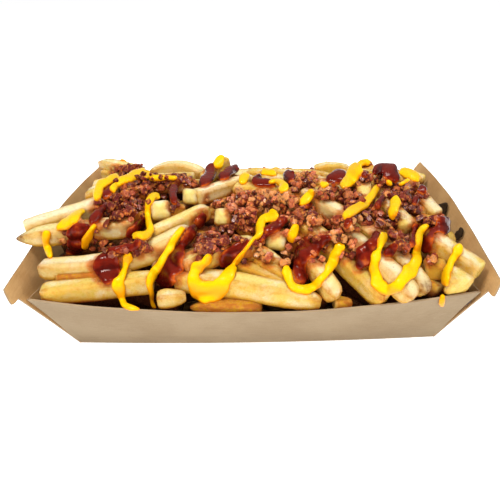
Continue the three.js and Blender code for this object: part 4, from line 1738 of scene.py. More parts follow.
CHEESE_STRANDS = (
    Strand("over the pointed left fry", (
        (48, 230, 9), (47, 235, 10), (46.5, 243, 7.5), (49, 251, 7), (52, 259, 4.5),
    )),
    Strand("beside it", ((96, 224, 4.5), (91, 232, 6), (87, 241, 7.5), (83.5, 249.5, 6))),
    Strand("streak down the far left fry", ((84, 209, 3), (75, 218, 7), (66, 224, 8), (56, 229, 5))),
    Strand("round the left cut end", (
        (160, 195.5, 4), (153, 197, 7), (148.5, 204, 5.5), (148, 214, 4.8), (149, 222, 5), (150, 230, 6.5),
        (145, 235, 7.5), (138, 235.5, 6), (132, 237, 4.5),
    )),
    Strand("down the front left fries", (
        (129, 252, 8), (127.5, 260, 7.5), (125, 269, 5.5), (120.5, 278, 8), (118.5, 285, 10), (120.5, 292, 8),
        (122.5, 299, 5.8), (125, 305.5, 4.8), (131, 308, 5), (137, 309, 4), (141, 309.5, 2.5),
    )),
    Strand("beside the dark pool", (
        (184, 227, 4), (178, 235, 6.5), (171, 245, 7.5), (165, 256, 6), (158, 267, 6.5), (152, 275, 7.5),
        (149, 283, 7.5), (150.5, 291, 5.5), (151.5, 299, 4), (153.5, 306, 4), (157, 308, 3),
    )),
    Strand("back left, far", ((146, 170, 5), (135, 175, 7), (124, 181, 7), (115, 187, 7), (113, 193, 5))),
    Strand("back left, near", ((119, 176, 5), (110, 180, 7), (100, 186, 8), (97, 194, 8), (97, 202, 5))),
    Strand("small one at the back", (
        (142, 180, 4), (148, 176, 5), (154, 178, 5), (166, 178, 4), (178, 178, 4),
    )),
    Strand("over the highest tip", ((223, 155, 8), (220, 162, 10), (217, 169, 7))),
    Strand("on the long back fry", ((248, 173, 8), (244, 179, 9), (241, 185, 6))),
    Strand("far back", ((261, 172, 5), (270, 173, 6), (277, 175, 4))),
    Strand("back middle", ((268, 182, 4), (278, 182, 6), (283, 187, 8), (279, 192, 6))),
    Strand("hook in the middle", (
        (271, 209, 6), (274, 217, 6), (264, 218, 7), (260, 226, 7), (258, 235, 6), (252, 241, 4),
        (246, 249, 4), (239, 257, 5), (234, 265, 7),
    )),
    Strand("drop in the middle", ((297, 223.5, 7.5), (295, 229, 9), (292, 236, 7.5), (291, 243, 4.5))),
    Strand("right of the crest", ((314, 190, 7), (308, 196, 8), (303, 202, 7), (300, 206, 4))),
    Strand("behind it", ((325, 184, 8), (320, 186, 8))),
    Strand("big drip, left arm", (
        (209, 253, 9), (206, 261, 9), (196, 269, 10), (193, 278, 12), (197, 289, 12), (204, 298, 13),
        (209, 303, 10),
    )),
    Strand("big drip, right arm", (
        (234, 265, 8), (228, 275, 12), (221, 285, 14), (214, 295, 14), (210, 302, 10),
    )),
    Strand("big drip, middle", ((196, 285, 11), (210, 288, 13), (224, 283, 11))),
    Strand("big drip, lower middle", ((203, 294, 12), (210, 296, 13), (217, 292, 11))),
    Strand("first loop", (
        (284, 265, 6.5), (287, 271, 8.5), (289, 279, 8), (292, 286, 7.5), (300, 290, 7), (309, 289, 8.5),
        (317, 284, 8.5), (324, 276, 7.5), (331, 266, 8), (335, 257, 8.5), (339, 249, 9), (342, 243, 9),
    )),
    Strand("second loop", (
        (384, 232, 5), (383, 238, 8.5), (381, 244, 7), (379.5, 250, 3.4), (377, 255, 9), (375, 262, 10.5),
        (374.5, 270, 10.5), (376, 278, 10.5), (381, 287, 11), (388, 291, 10), (396, 286, 12.5),
        (404, 277, 13), (411, 269, 12), (416, 260, 9), (417, 251, 6.5), (418, 243, 5), (420, 234, 5),
        (424, 228, 5.5), (428, 223.5, 4),
    )),
    Strand("long one on the right", (
        (343, 219, 4), (349, 213, 7), (359, 207.5, 7.5), (367, 202, 7.5), (373, 193, 6.5), (378, 185, 6.5),
    )),
    Strand("on the far right fry", (
        (396, 195, 6), (395.5, 201, 8.5), (394.5, 208, 9), (392.5, 214, 7), (391, 220, 3.5),
    )),
    Strand("over the back right hump", ((358, 163, 11), (354, 172, 12), (347, 181, 11), (341, 188, 7))),
    Strand("behind the hump", ((363, 161, 6), (370, 165, 6))),
    Strand("small one, back right", ((323, 183, 5), (329, 186, 6))),
    Strand("beside the back pool", ((391, 181, 8), (387, 185, 8))),
    Strand("back right corner", ((399, 171, 6), (408, 173, 9), (416, 177, 9), (420, 180, 7))),
    Strand("thin one, back right", ((410, 179, 4), (399, 186, 4))),
    Strand("over the right corner fry", (
        (461, 244, 6.5), (458, 250, 9.5), (454, 257, 8), (451, 263, 6), (448, 270, 6.5), (446, 278, 6.5),
        (444.5, 286, 4.5),
    )),
    Strand("back left zigzag", (
        (-94, 66, 5), (-86, 76, 6), (-76, 66, 6), (-66, 76, 6), (-58, 68, 5),
    ), Pour.PLAN),
    Strand("back middle zigzag", (
        (-30, 67, 5), (-20, 78, 6), (-8, 68, 6), (4, 78, 6), (14, 69, 5),
    ), Pour.PLAN),
    Strand("back right zigzag", ((46, 68, 5), (56, 77, 6), (68, 66, 6), (80, 75, 6), (90, 64, 5)), Pour.PLAN),
)

RIM_DROP = (
    Strand("drop over the front rim", ((444, 294, 5), (442.5, 297.5, 6), (441.5, 302, 6), (441, 307, 5))),
)

BARBECUE_STRANDS = (
    Strand("pool on the pointed left fry", ((66, 233, 12), (72, 233, 17), (81, 230, 17), (90, 226, 9))),
    Strand("its lower lobe", ((67, 243, 12), (76, 243, 15), (85, 239, 11))),
    Strand("its lowest edge", ((66, 251, 5), (75, 251, 6), (83, 247, 5))),
    Strand("up from it", ((90, 225, 8), (97, 215, 8), (106, 205, 6))),
    Strand("big drop on the front left fries", (
        (109, 251, 15), (108.5, 257, 21), (108, 265, 23), (107.5, 273, 21), (107, 280, 15), (106.5, 285, 8),
    )),
    Strand("from the drop to the right", ((104, 251, 6), (120, 250, 8), (134, 247, 7), (140, 240, 5))),
    Strand("left of the cheese", ((147, 218, 6), (138, 226, 9), (131, 233, 8), (127, 238, 5))),
    Strand("long one into the dark pool", (
        (196, 225, 6), (189, 235, 8), (182, 246, 8), (176, 256, 13), (171, 264, 20), (167, 272, 20),
        (165, 281, 18), (164, 288, 13),
    )),
    Strand("back left", ((115, 181, 5), (108, 187, 8), (106, 194, 8), (103, 199, 5))),
    Strand("left of the small cut end", ((175, 183, 6), (173, 194, 8), (175, 206, 6))),
    Strand("by the left cut end", ((204, 213, 7), (200, 221, 8), (196, 228, 6))),
    Strand("down from the highest tip", ((213, 163, 6), (210, 171, 9), (206, 179, 10), (200, 186, 8))),
    Strand("right of the highest tip", ((239, 167, 6), (231, 170, 8), (225, 175, 8), (219, 179, 5))),
    Strand("back middle", ((261, 175, 5), (255, 180, 7), (262, 183, 8), (270, 184, 7), (276, 186, 4))),
    Strand("back, right of the middle", ((291, 170, 8), (289, 176, 11), (287, 183, 7))),
    Strand("back pool", ((326, 180, 5), (332, 178, 9), (339, 176, 11), (347, 174, 7))),
    Strand("under the back pool", ((331, 186, 5), (336, 184, 7))),
    Strand("slope in the middle", (
        (249, 240, 8), (240, 246, 11), (232, 253, 13), (226, 261, 13), (223, 268, 9),
    )),
    Strand("crest to slope", ((287, 218, 7), (279, 224, 8), (270, 230, 9), (263, 237, 8), (258, 244, 6))),
    Strand("middle mass", (
        (306, 236, 7), (305, 246, 12), (303, 255, 15), (300, 267, 13), (302, 277, 12), (306, 282, 7),
    )),
    Strand("right of the mass", ((332, 237, 7), (322, 240, 11), (315, 248, 13), (308, 257, 12))),
    Strand("small one on the crest", ((311, 202, 6), (306, 209, 7))),
    Strand("right fry, long", (
        (378, 231, 7), (374, 241, 10), (369, 248, 12), (364, 256, 15), (360, 264, 14), (360, 270, 9),
    )),
    Strand("right fry, short", ((398, 244, 8), (392, 249, 10), (387, 253, 9), (385, 257, 6))),
    Strand("round the stained fry", ((360, 213, 6), (354, 217, 9), (350, 221, 7), (346, 229, 5))),
    Strand("thin one on the right", ((416, 223, 6), (414, 233, 6), (412, 242, 6), (411, 248, 4))),
    Strand("right end, tall", ((431, 227, 9), (427, 237, 12), (427, 246, 13), (428, 253, 8))),
    Strand("right end, round", ((450, 219, 7), (445, 222, 14), (440, 227, 15), (435, 231, 9))),
    Strand("back right pool", ((372, 173, 6), (382, 168, 10), (390, 172, 15), (395, 178, 13), (397, 183, 7))),
    Strand("beside the hump", ((367, 173, 7), (362, 178, 6))),
    Strand("far right", ((418, 188, 8), (427, 191, 7))),
    Strand("far right, lower", ((417, 197, 8), (413, 206, 7))),
    Strand("stain on the right fry", ((385, 196, 5), (379, 203, 6), (376, 210, 5))),
    Strand("back left", ((-84, 64, 6), (-78, 72, 9), (-80, 78, 6)), Pour.PLAN),
    Strand("back, left of the middle", ((-46, 66, 6), (-40, 74, 9), (-44, 79, 6)), Pour.PLAN),
    Strand("back middle", ((18, 68, 6), (26, 75, 9), (30, 80, 6)), Pour.PLAN),
    Strand("back right", ((70, 64, 6), (74, 72, 9), (68, 77, 6)), Pour.PLAN),
)

DRIED_STRANDS = (
    Strand("upper patch on the right end panel", (
        (437, 206, 5), (441, 208, 9), (445, 212, 10), (447, 217, 6),
    )),
    Strand("its branch", ((441, 207, 4), (447, 206, 6), (449, 209, 4))),
    Strand("speck beside it", ((450, 210, 3), (452, 210, 3))),
    Strand("lower patch", ((465, 229, 5), (461, 232, 8), (457, 236, 7), (454, 239, 4))),
)


@dataclass
class Drizzle:
    """A sauce laid over the heap in strands that follow what is under them.

    Args:
        name: the piece's name.
        strands: its strands.
        finish: its looks.
        slot: the record's material slot.
        thickness: the most that a strand stands proud.
        voxel: the detail at which its strands are merged.
        inside: whether it is kept inside the tray.
    """

    name: str
    strands: Sequence[Strand]
    finish: SauceFinish
    slot: str
    thickness: float
    voxel: float = 0.5
    steep: float = 3.2
    point_size: float = 0.56
    wider: float = 1.2
    ragged: float = 0.3
    ragged_length: float = 3.6
    taper: float = 1.4
    least_taper: float = 0.1
    blunt_share: float = 0.03
    step: float = 0.8
    columns: int = 13
    sunk: float = 0.8
    blur: int = 12
    bridge: int = 2
    rounds: int = 8
    smoothing: float = 0.5
    drop_height: float = 110
    inside: bool = True
    least_width: float = 2
    crown_share: float = 0.42
    squareness: float = 2.6
    soft_rounds: int = 4
    cling: float = 0.3

    def widened_route(self, strand: Strand) -> tuple[np.ndarray, np.ndarray, np.ndarray]:
        """A strand's route in fine steps.

        Args:
            strand: the strand.

        Returns:
            The route's points, its sideways directions, and at each point its reach to the left and to the
            right, drawn in at both ends.
        """
        size = self.point_size if strand.pour is Pour.PICTURE else 1.0
        knots = np.array(strand.route, float)
        knots = np.concatenate([2 * knots[:1] - knots[1:2], knots, 2 * knots[-1:] - knots[-2:-1]])
        knots[:, 2] = np.clip(knots[:, 2], self.least_width, None)
        pieces = []
        for a, b, c, d in zip(knots[:-3], knots[1:-2], knots[2:-1], knots[3:]):
            count = max(2, round(np.linalg.norm(c[:2] - b[:2]) * size / self.step))
            t = np.linspace(0, 1, count, endpoint=False)[:, None]
            bend, twist = 2 * a - 5 * b + 4 * c - d, 3 * b - a - 3 * c + d
            pieces.append(0.5 * (2 * b + (c - a) * t + bend * t**2 + twist * t**3))
        line = np.concatenate([*pieces, knots[-2:-1]])
        gap = np.linalg.norm(np.diff(line[:, :2], axis=0), axis=1)
        reach = np.concatenate([[0], np.cumsum(gap)])
        ahead = np.gradient(line[:, :2], axis=0)
        ahead /= np.linalg.norm(ahead, axis=1)[:, None]
        side = np.stack([-ahead[:, 1], ahead[:, 0]], -1)
        half = line[:, 2] / 2 * self.wider
        to_end = np.minimum(reach, reach[-1] - reach)
        rounding = to_end / np.maximum(self.taper * half, self.least_taper)
        rounding = np.clip(rounding, self.blunt_share, 1)
        half = half * np.sqrt(1 - (1 - rounding) ** 2)
        chance = np.random.default_rng(len(strand.where) * 131 + len(line))
        edges = [self.wavering(reach * size / self.ragged_length, chance) for _ in range(2)]
        return line[:, :2], side, np.stack([half * edge for edge in edges], -1)

    def wavering(self, spots: np.ndarray, chance: np.random.Generator) -> np.ndarray:
        """Makes an edge swing in and out along a strand.

        Args:
            spots: places along it, in lengths of one swing.
            chance: the random source.

        Returns:
            The edge's reach at each spot, as a share of its usual one.
        """
        knots = chance.uniform(-1, 1, int(spots[-1]) + 2)
        at = spots.astype(int)
        share = spots - at
        share = share * share * (3 - 2 * share)
        return 1 + self.ragged * (knots[at] * (1 - share) + knots[at + 1] * share)

    def draped(self, strand: Strand, ground: Ground, camera: PictureCamera) -> Shell:
        """One strand as a closed body that lies on what is under it.

        Args:
            strand: the strand.
            ground: what it lies on.
            camera: the picture's camera.

        Returns:
            The strand: domed on top, sunk a little below.
        """
        line, side, half = self.widened_route(strand)
        picture = strand.pour is Pour.PICTURE
        size = self.point_size if picture else 1.0
        rows, columns = len(line), self.columns
        shares = np.sin(np.linspace(-math.pi / 2, math.pi / 2, columns))
        reach = np.where(shares < 0, half[:, :1], half[:, 1:])
        spots = line[:, None] + side[:, None] * (reach * shares)[..., None]
        flat = spots.reshape(-1, 2)
        if picture:
            starts, directions = camera.rays(flat[:, 0], flat[:, 1])
        else:
            starts = np.column_stack([flat, np.full(len(flat), self.drop_height)])
            directions = np.tile([0.0, 0.0, -1.0], (len(flat), 1))
        far = ground.reach(starts, directions).reshape(rows, columns)
        far = self.eased(far, spots, size)
        points = starts.reshape(rows, columns, 3) + directions.reshape(rows, columns, 3) * far[..., None]
        normal = np.cross(np.gradient(points, axis=0), np.gradient(points, axis=1))
        normal /= np.maximum(np.linalg.norm(normal, axis=-1), 1e-9)[..., None]
        facing = np.sign(-(normal * directions.reshape(rows, columns, 3)).sum(-1))
        normal *= np.where(facing == 0, 1, facing)[..., None]
        for _ in range(self.soft_rounds):
            normal = self.blurred(normal)
            normal /= np.maximum(np.linalg.norm(normal, axis=-1), 1e-9)[..., None]
        width = half.sum(axis=1) * size
        crown = np.minimum(self.thickness, self.crown_share * width)
        dome = crown[:, None] * np.sqrt(np.maximum(1 - np.abs(shares) ** self.squareness, 0))
        top = points + normal * dome[..., None]
        bottom = points - normal * self.sunk
        return self.closed(top, bottom)

    def eased(self, far: np.ndarray, spots: np.ndarray, size: float) -> np.ndarray:
        """Distances to the ground, without holes and with no fall steeper than the sauce would have.

        Args:
            far: distances along the rays, nan where a ray misses.
            spots: where the rays are in the picture or plan.
            size: millimetres in a unit of the spots.

        Returns:
            The eased distances.
        """
        held = np.where(np.isnan(far), 1e6, far)
        along = np.linalg.norm(np.diff(spots, axis=0), axis=-1) * size * self.steep
        across = np.linalg.norm(np.diff(spots, axis=1), axis=-1) * size * self.steep
        for grid, steps in 2 * [(held, along), (held.T, across.T)]:
            for row in range(1, len(grid)):
                grid[row] = np.minimum(grid[row], grid[row - 1] + steps[row - 1])
            for row in range(len(grid) - 2, -1, -1):
                grid[row] = np.minimum(grid[row], grid[row + 1] + steps[row])
        soft = held.copy()
        for _ in range(self.bridge):
            padded = np.pad(soft, 1, mode="edge")
            soft = np.minimum.reduce(
                [padded[1:-1, 1:-1], padded[:-2, 1:-1], padded[2:, 1:-1], padded[1:-1, :-2], padded[1:-1, 2:]]
            )
        for _ in range(self.blur):
            soft = np.minimum(self.blurred(soft[..., None])[..., 0], held + self.cling)
        return soft

    @staticmethod
    def blurred(grid: np.ndarray) -> np.ndarray:
        """Each value of a grid averaged with its neighbours."""
        padded = np.pad(grid, ((1, 1), (1, 1), (0, 0)), mode="edge")
        return (2 * grid + padded[:-2, 1:-1] + padded[2:, 1:-1] + padded[1:-1, :-2] + padded[1:-1, 2:]) / 6

    @staticmethod
    def closed(top: np.ndarray, bottom: np.ndarray) -> Shell:
        """Closes the space between two grids of points.

        Args:
            top: the upper grid.
            bottom: the lower one.

        Returns:
            The closed body.
        """
        rows, columns = top.shape[:2]
        layer = rows * columns
        faces = []
        for row in range(rows - 1):
            for column in range(columns - 1):
                a = row * columns + column
                faces.append((a, a + 1, a + columns + 1, a + columns))
                faces.append((layer + a, layer + a + columns, layer + a + columns + 1, layer + a + 1))
        ring = list(range(columns))
        ring += [row * columns + columns - 1 for row in range(1, rows)]
        ring += [(rows - 1) * columns + column for column in range(columns - 2, -1, -1)]
        ring += [row * columns for row in range(rows - 2, 0, -1)]
        for here, there in zip(ring, ring[1:] + ring[:1]):
            faces.append((there, here, layer + here, layer + there))
        return Shell(np.concatenate([top.reshape(-1, 3), bottom.reshape(-1, 3)]), faces)

    def build(self, ground: Ground, camera: PictureCamera, tray: CardTray) -> bpy.types.Object:
        """Lays all the strands, merges them and smooths the result.

        Args:
            ground: what they lie on.
            camera: the picture's camera.
            tray: the tray that holds them.

        Returns:
            The piece.
        """
        made = joined([self.draped(strand, ground, camera) for strand in self.strands]).object(self.name)
        remesh = made.modifiers.new("merge", "REMESH")
        remesh.mode = "VOXEL"
        remesh.voxel_size = self.voxel * METRES
        remesh.use_smooth_shade = True
        settle(made)
        smoothed(made, self.rounds, self.smoothing)
        if self.inside:
            move_points(made, tray.hold(points_of(made)))
        keep_value(made, "depth", ground.depth(points_of(made)))
        wear(made, self.finish.make())
        made.data.shade_smooth()
        hand_over(made, self.slot, "fries")
        return made


@dataclass(frozen=True)
class Drift:
    """A patch of bacon as the picture shows it: its middle, half sizes, slant, how many bits, how pale."""

    across: float
    down: float
    half_width: float
    half_height: float
    slant: float
    count: int
    pale: float = 0.0


BACON_DRIFTS = (
    Drift(258, 203, 44, 11, 0, 120, 0.16),
    Drift(242, 220, 12, 11, 0, 26, -0.05),
    Drift(212, 243, 15, 9, -10, 30, -0.18),
    Drift(226, 226, 8, 10, 0, 14, -0.12),
    Drift(288, 217, 14, 8, 0, 26, 0.16),
    Drift(303, 182, 13, 9, -20, 24, 0.16),
    Drift(330, 223, 14, 7, 10, 26, 0.16),
    Drift(287, 258, 8, 6, 0, 8, 0.16),
    Drift(300, 215, 26, 10, 0, 26, 0.16),
    Drift(131, 171, 18, 5, -8, 18, -0.2),
    Drift(150, 193, 30, 16, 0, 74, -0.14),
    Drift(120, 206, 24, 11, -14, 46, -0.22),
    Drift(108, 246, 24, 7, -4, 22, -0.2),
    Drift(141, 246, 10, 5, 0, 10, -0.14),
    Drift(178, 190, 16, 18, 0, 40, -0.14),
    Drift(327, 193, 10, 6, 0, 12, 0.16),
    Drift(350, 199, 11, 10, 0, 22, -0.14),
    Drift(364, 177, 6, 4, 0, 6, -0.14),
    Drift(386, 182, 11, 8, 20, 16, -0.14),
    Drift(392, 191, 9, 6, 0, 10, -0.14),
    Drift(414, 199, 16, 14, 30, 34, -0.08),
    Drift(336, 229, 18, 12, 20, 36, 0.16),
    Drift(375, 217, 11, 9, 30, 20, -0.14),
    Drift(402, 240, 12, 8, 30, 16, -0.14),
    Drift(436, 219, 16, 5, 0, 16, -0.14),
    Drift(396, 222, 18, 10, 20, 16, -0.14),
    Drift(432, 260, 3, 3, 0, 2, -0.14),
    Drift(240, 240, 60, 22, 0, 24, 0),
    Drift(90, 235, 30, 16, 0, 10, -0.14),
    Drift(330, 250, 50, 16, 0, 12, 0.16),
)


LOOSE_DRIFTS = (
    Drift(258, 232, 40, 14, 20, 8),
    Drift(150, 215, 26, 12, 0, 6),
    Drift(138, 182, 34, 8, -6, 14, -0.2),
    Drift(360, 222, 10, 8, 0, 7),
    Drift(432, 260, 2, 2, 0, 1, 0.3),
    Drift(311, 240, 14, 14, 0, 6),
    Drift(128, 250, 30, 6, 0, 7),
    Drift(380, 190, 40, 12, 0, 8),
)


@dataclass(frozen=True)
class Bare:
    """A patch that the picture shows bare, such as a fry's cut end: its middle and half sizes."""

    across: float
    down: float
    half_width: float
    half_height: float


BARE_PATCHES = (
    Bare(160, 210, 13, 14),
    Bare(142, 197, 6, 6),
    Bare(188, 197, 10, 12),
    Bare(222, 218, 10.5, 11),
    Bare(275, 243, 12, 14),
    Bare(182, 165, 32, 10),
    Bare(105, 164, 14, 8),
    Bare(225, 164, 16, 12),
    Bare(90, 198, 9, 9),
    Bare(305, 192, 8, 7),
    Bare(331, 209, 17, 11),
    Bare(322, 229, 7, 7),
    Bare(404, 227, 11, 10),
    Bare(384, 206, 8, 8),
    Bare(430, 207, 12, 12),
    Bare(114, 233, 18, 10),
    Bare(216, 194, 17, 7),
    Bare(240, 178, 14, 9),
    Bare(176, 224, 20, 8),
    Bare(375, 225, 5, 8),
    Bare(331, 167, 14, 6),
)


@dataclass
class BaconBits:
    """Small uneven dice of bacon, dropped where the picture shows them and thinly over the back."""

    tray: CardTray
    name: str = "bacon_bits"
    drifts: Sequence[Drift] = BACON_DRIFTS
    size_min: float = 2.2
    size_max: float = 5.4
    size_chances: tuple[float, float] = (1.5, 3.0)
    cell: float = 0.8
    pile: float = 6.5
    more: float = 4.0
    back_count: int = 110
    back_near: float = 66
    back_far: float = 76
    back_reach: float = 96
    shapes: int = 6
    drop_height: float = 110
    sight: float = 14
    sight_past: float = 0.6
    sight_step: float = 0.5
    half_x: float = 122
    half_y: float = 88
    lowest: float = 12
    bedded: float = 0.3
    wide: float = 3.2
    kept_in: float = 0.88
    stray: float = 1.2
    least_shares: Point = (0.7, 0.7, 0.5)
    most_shares: Point = (1.35, 1.35, 1.0)
    tumble: Point = (0.35, 0.35, 1)
    dents: float = 0.55
    grain: float = 0.25
    grain_clouds: float = 520

    def in_the_picture(
        self, camera: PictureCamera, chance: np.random.Generator
    ) -> tuple[np.ndarray, np.ndarray, np.ndarray]:
        """Looks through the picture's drifts of bacon, but not through its bare patches.

        Args:
            camera: the picture's camera.
            chance: the random source.

        Returns:
            Where the lines of sight start, their directions, and how pale the bit on each is.
        """
        across, down, pale = [], [], []
        for drift in self.drifts:
            turn = math.radians(drift.slant)
            count = round(drift.count * self.more)
            reach = np.sqrt(chance.random(count))
            reach = reach * np.where(chance.random(count) < self.kept_in, 1, self.stray)
            angle = chance.random(count) * 2 * math.pi
            along, up = reach * np.cos(angle) * drift.half_width, reach * np.sin(angle) * drift.half_height
            across.append(drift.across + along * math.cos(turn) - up * math.sin(turn))
            down.append(drift.down + along * math.sin(turn) + up * math.cos(turn))
            pale.append(np.full(count, drift.pale))
        across, down, pale = np.concatenate(across), np.concatenate(down), np.concatenate(pale)
        bare = np.zeros(len(across), bool)
        for patch in BARE_PATCHES:
            aside, below = (across - patch.across) / patch.half_width, (down - patch.down) / patch.half_height
            bare |= aside**2 + below**2 < 1
        return *camera.rays(across[~bare], down[~bare]), pale[~bare]

    def over_the_back(self, chance: np.random.Generator) -> tuple[np.ndarray, np.ndarray]:
        """Aims straight drops at the far side, which the picture hides.

        Args:
            chance: the random source.

        Returns:
            Where the drops start, and their directions.
        """
        x = chance.uniform(-self.back_reach, self.back_reach, self.back_count)
        y = chance.uniform(self.back_near, self.back_far, self.back_count)
        starts = np.column_stack([x, y, np.full(self.back_count, self.drop_height)])
        return starts, np.tile([0.0, 0.0, -1.0], (self.back_count, 1))

    def pile_up(
        self, starts: np.ndarray, directions: np.ndarray, ground: Ground, chance: np.random.Generator
    ) -> tuple[np.ndarray, np.ndarray, np.ndarray]:
        """Drops bits one after another, so that they lie on the fries and on each other.

        Args:
            starts: where the lines along which they fall begin.
            directions: those lines' directions.
            ground: the fries.
            chance: the random source.

        Returns:
            The bits' middles, their three sizes, and which line each fell along.
        """
        halves = (self.half_x, self.half_y)
        mesh_x, mesh_y = np.meshgrid(*(np.arange(-half, half, self.cell) for half in halves))
        above = np.column_stack([mesh_x.ravel(), mesh_y.ravel(), np.full(mesh_x.size, self.drop_height)])
        far = ground.reach(above, np.tile([0.0, 0.0, -1.0], (len(above), 1)))
        floor = np.where(np.isnan(far), 0, self.drop_height - far).reshape(mesh_x.shape)
        level = floor.copy()
        middles, sizes, kept = [], [], []
        landed = ground.reach(starts, directions)
        steps = np.arange(self.sight, -self.sight_past, -self.sight_step)
        for index, (start, direction, reach) in enumerate(zip(starts, directions, landed)):
            if math.isnan(reach):
                continue
            size = self.size_min + (self.size_max - self.size_min) * chance.beta(*self.size_chances)
            size = size * chance.uniform(self.least_shares, self.most_shares)
            line = start + (reach - steps)[:, None] * direction
            columns = np.round((line[:, 0] + self.half_x) / self.cell).astype(int)
            rows = np.round((line[:, 1] + self.half_y) / self.cell).astype(int)
            nearest = min(rows.min(), columns.min())
            if nearest < 2 or rows.max() >= level.shape[0] - 2 or columns.max() >= level.shape[1] - 2:
                continue
            touching = line[:, 2] <= level[rows, columns] + size[2] * self.bedded
            at = int(np.argmax(touching)) if touching.any() else len(steps) - 1
            row, column = rows[at], columns[at]
            base = floor[row, column]
            if level[row, column] - base > self.pile or line[at, 2] < self.lowest:
                continue
            middles.append(line[at])
            sizes.append(size)
            kept.append(index)
            spread = 1 if size[:2].mean() < self.wide else 2
            foot = level[row - spread : row + spread + 1, column - spread : column + spread + 1]
            foot[:] = np.maximum(foot, line[at, 2] + size[2] * self.bedded)
        return np.array(middles), np.array(sizes), np.array(kept)

    def recipe(self, material: bpy.types.Material) -> Recipe:
        """Makes the tree that puts one of a few uneven dice on each point.

        Args:
            material: what they wear.

        Returns:
            The tree.
        """
        r = Recipe("bacon_on_points")
        dent = r.input("Dents")
        grain = r.input("Grain")
        dice = r.tree.nodes.new("GeometryNodeJoinGeometry")
        cube = {"Size": (1.0, 1.0, 1.0), "Vertices X": 3, "Vertices Y": 3, "Vertices Z": 3}
        to_pull = {"From Min": 0.6, "From Max": 0.87, "To Min": 0.0, "To Max": -0.2}
        for shape in range(self.shapes):
            place = r.place()
            cloud = r.noise(1.3, 2.0, "Color", r.vectors("ADD", place, (3.1 * shape, 1.7, 0.9 * shape)))
            pull = r.add("ShaderNodeMapRange", {"Value": r.length(place), **to_pull})
            offset = r.vectors("ADD", r.drift(cloud, dent), r.scaled(place, pull))
            lump = r.moved(r.add("GeometryNodeMeshCube", cube, "Mesh"), offset)
            r.tree.links.new(r.add("GeometryNodeGeometryToInstance", {"Geometry": lump}), dice.inputs[0])
        turn = r.add("FunctionNodeEulerToRotation", {"Euler": r.value("turn", "FLOAT_VECTOR")})
        placed = r.add(
            "GeometryNodeInstanceOnPoints",
            {
                "Points": r.source.outputs["Geometry"],
                "Instance": dice.outputs[0],
                "Pick Instance": True,
                "Instance Index": r.value("shape", "INT"),
                "Rotation": turn,
                "Scale": r.value("size", "FLOAT_VECTOR"),
            },
        )
        real = r.add("GeometryNodeRealizeInstances", {"Geometry": placed})
        real = r.roughened(real, (self.grain_clouds, grain))
        angle = r.add("GeometryNodeInputMeshEdgeAngle")
        real = r.add("GeometryNodeSetShadeSmooth", {"Geometry": real, "Shade Smooth": True})
        blunt = r.add("FunctionNodeCompare", {0: angle, 1: 0.6}, data_type="FLOAT", operation="LESS_THAN")
        real = r.add("GeometryNodeSetShadeSmooth", {"Geometry": real, "Shade Smooth": blunt}, domain="EDGE")
        r.finish(real, material)
        return r

    def build(self, ground: Ground, camera: PictureCamera, finish: BaconFinish) -> bpy.types.Object:
        """Drops, shapes and dresses the bits.

        Args:
            ground: what they lie on.
            camera: the picture's camera.
            finish: their looks.

        Returns:
            The piece.
        """
        chance = np.random.default_rng(LOOKS_SEED + 1)
        seen, back = self.in_the_picture(camera, chance), self.over_the_back(chance)
        starts, directions = np.concatenate([seen[0], back[0]]), np.concatenate([seen[1], back[1]])
        pale = np.concatenate([seen[2], np.zeros(self.back_count)])
        order = chance.permutation(len(starts))
        middles, sizes, kept = self.pile_up(starts[order], directions[order], ground, chance)
        mesh = bpy.data.meshes.new(self.name)
        mesh.from_pydata((middles * METRES).tolist(), [], [])
        made = put_in_scene(self.name, mesh)
        count = len(middles)
        turns = chance.uniform(-math.pi, math.pi, (count, 3)) * self.tumble
        for key, value in (("turn", turns), ("size", sizes * METRES)):
            layer = mesh.attributes.new(key, "FLOAT_VECTOR", "POINT")
            layer.data.foreach_set("vector", value.astype(np.float32).ravel())
        shape = mesh.attributes.new("shape", "INT", "POINT")
        shape.data.foreach_set("value", chance.integers(0, self.shapes, count).astype(np.int32))
        for key in ("tone", "kind"):
            keep_value(made, key, np.clip(chance.random(count) + pale[order][kept], 0, 1))
        self.recipe(finish.make()).apply(made, Dents=self.dents, Grain=self.grain * METRES)
        move_points(made, self.tray.hold(points_of(made)))
        hand_over(made, "bacon", "fries")
        return made


# Studio


@dataclass(frozen=True)
class SoftBox:
    """A large soft lamp.

    Args:
        name: the lamp's name.
        place: where it is, in metres.
        width: its size along its own X, in metres.
        height: its size along its own Y, in metres.
        power: in watts.
        mirrored: whether it shows in glossy surfaces.
        aim: what it points at, in metres.
    """

    name: str
    place: Point
    width: float
    height: float
    power: float
    mirrored: bool = True
    aim: Point = (0.0, 0.0, 0.03)

    def add(self) -> None:
        """Puts the lamp in the scene."""
        light = bpy.data.lights.new(self.name, "AREA")
        light.shape = "RECTANGLE"
        light.size, light.size_y, light.energy = self.width, self.height, self.power
        made = put_in_scene(self.name, light)
        made.visible_glossy = self.mirrored
        made.location = self.place
        made.rotation_euler = (Vector(self.aim) - Vector(self.place)).to_track_quat("-Z", "Y").to_euler()


LAMPS = (
    SoftBox("key", (-0.25, -0.2, 0.8), 0.2, 0.2, 3.1),
    SoftBox("ceiling", (0.0, 0.1, 1.1), 1.4, 1.4, 4.2, mirrored=False),
    SoftBox("rim", (0.3, 0.35, 0.7), 0.2, 0.2, 1.2),
    SoftBox("front", (0.1, -0.9, 0.5), 0.7, 0.35, 6.6, mirrored=False),
    SoftBox("left sparkle", (-0.3, -0.1, 0.75), 0.07, 0.07, 0.8),
    SoftBox("right sparkle", (0.35, -0.25, 0.7), 0.07, 0.07, 0.7),
)


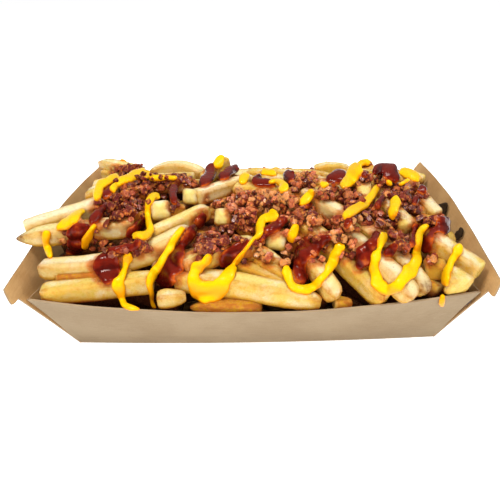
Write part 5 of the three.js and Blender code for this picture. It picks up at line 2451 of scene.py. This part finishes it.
@dataclass
class Studio:
    """The pale floor, the soft lamps and the camera."""

    floor_half: float = 3.0
    sky: float = 0.25
    lamps: Sequence[SoftBox] = LAMPS

    def build(self, camera: PictureCamera) -> None:
        """Sets the scene up around the food.

        Args:
            camera: the picture's camera.
        """
        half = self.floor_half
        corners = [(-half, -half, 0), (half, -half, 0), (half, half, 0), (-half, half, 0)]
        mesh = bpy.data.meshes.new("floor")
        mesh.from_pydata(corners, [], [(0, 1, 2, 3)])
        floor = put_in_scene("floor", mesh)
        wear(floor, FloorFinish().make())
        world = bpy.data.worlds.new("studio")
        world.use_nodes = True
        sky = world.node_tree.nodes["Background"]
        sky.inputs["Color"].default_value = WHITE
        sky.inputs["Strength"].default_value = self.sky
        bpy.context.scene.world = world
        for lamp in self.lamps:
            lamp.add()
        bpy.context.scene.view_settings.view_transform = "Standard"
        camera.add()


def main() -> None:
    """Builds every piece in order."""
    logging.basicConfig(level=logging.INFO, format="%(name)s: %(message)s")
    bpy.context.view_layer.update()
    camera = PictureCamera()
    Studio().build(camera)
    tray = CardTray()
    card = tray.build(KraftCardFinish())
    heap = FryHeap(tray, HeapShape())
    fries = heap.build(FriedPotatoFinish())
    bacon = BaconBits(tray).build(Ground(fries), camera, BaconFinish())
    barbecue = Drizzle("barbecue_sauce", BARBECUE_STRANDS, BARBECUE, "barbecue_sauce", 1.5, ragged=0.28)
    pool = barbecue.build(Ground([card, *fries, bacon]), camera, tray)
    for piece in fries:
        heap.stain(piece, [bacon, pool])
    cheese = Drizzle("cheese_sauce", CHEESE_STRANDS, CHEESE, "cheese_sauce", 1.35)
    queso = cheese.build(Ground([card, *fries, bacon, pool]), camera, tray)
    drop = Drizzle("cheese_drop", RIM_DROP, CHEESE, "cheese_sauce", 1.2, sunk=0.3, ragged=0.1, inside=False)
    drop.build(Ground([card]), camera, tray)
    scattered = BaconBits(tray, "loose_bacon", LOOSE_DRIFTS, size_max=4.2, more=1.0, back_count=0)
    loose = scattered.build(Ground([card, *fries, bacon, pool, queso]), camera, BaconFinish())
    around = Ground([card, *fries, bacon, pool, queso, loose])
    # Painted shade: how hemmed in the top fries and the bacon bits are, for their materials to darken.
    around.bake_occlusion_shade(fries[0])
    around.bake_occlusion_shade(bacon)
    dried = Drizzle(
        "dried_sauce", DRIED_STRANDS, DRIED_SAUCE, "barbecue_sauce", 0.7, ragged=0.7, ragged_length=1.5
    )
    dried.build(Ground([card]), camera, tray)


if __name__ == "__main__":
    main()
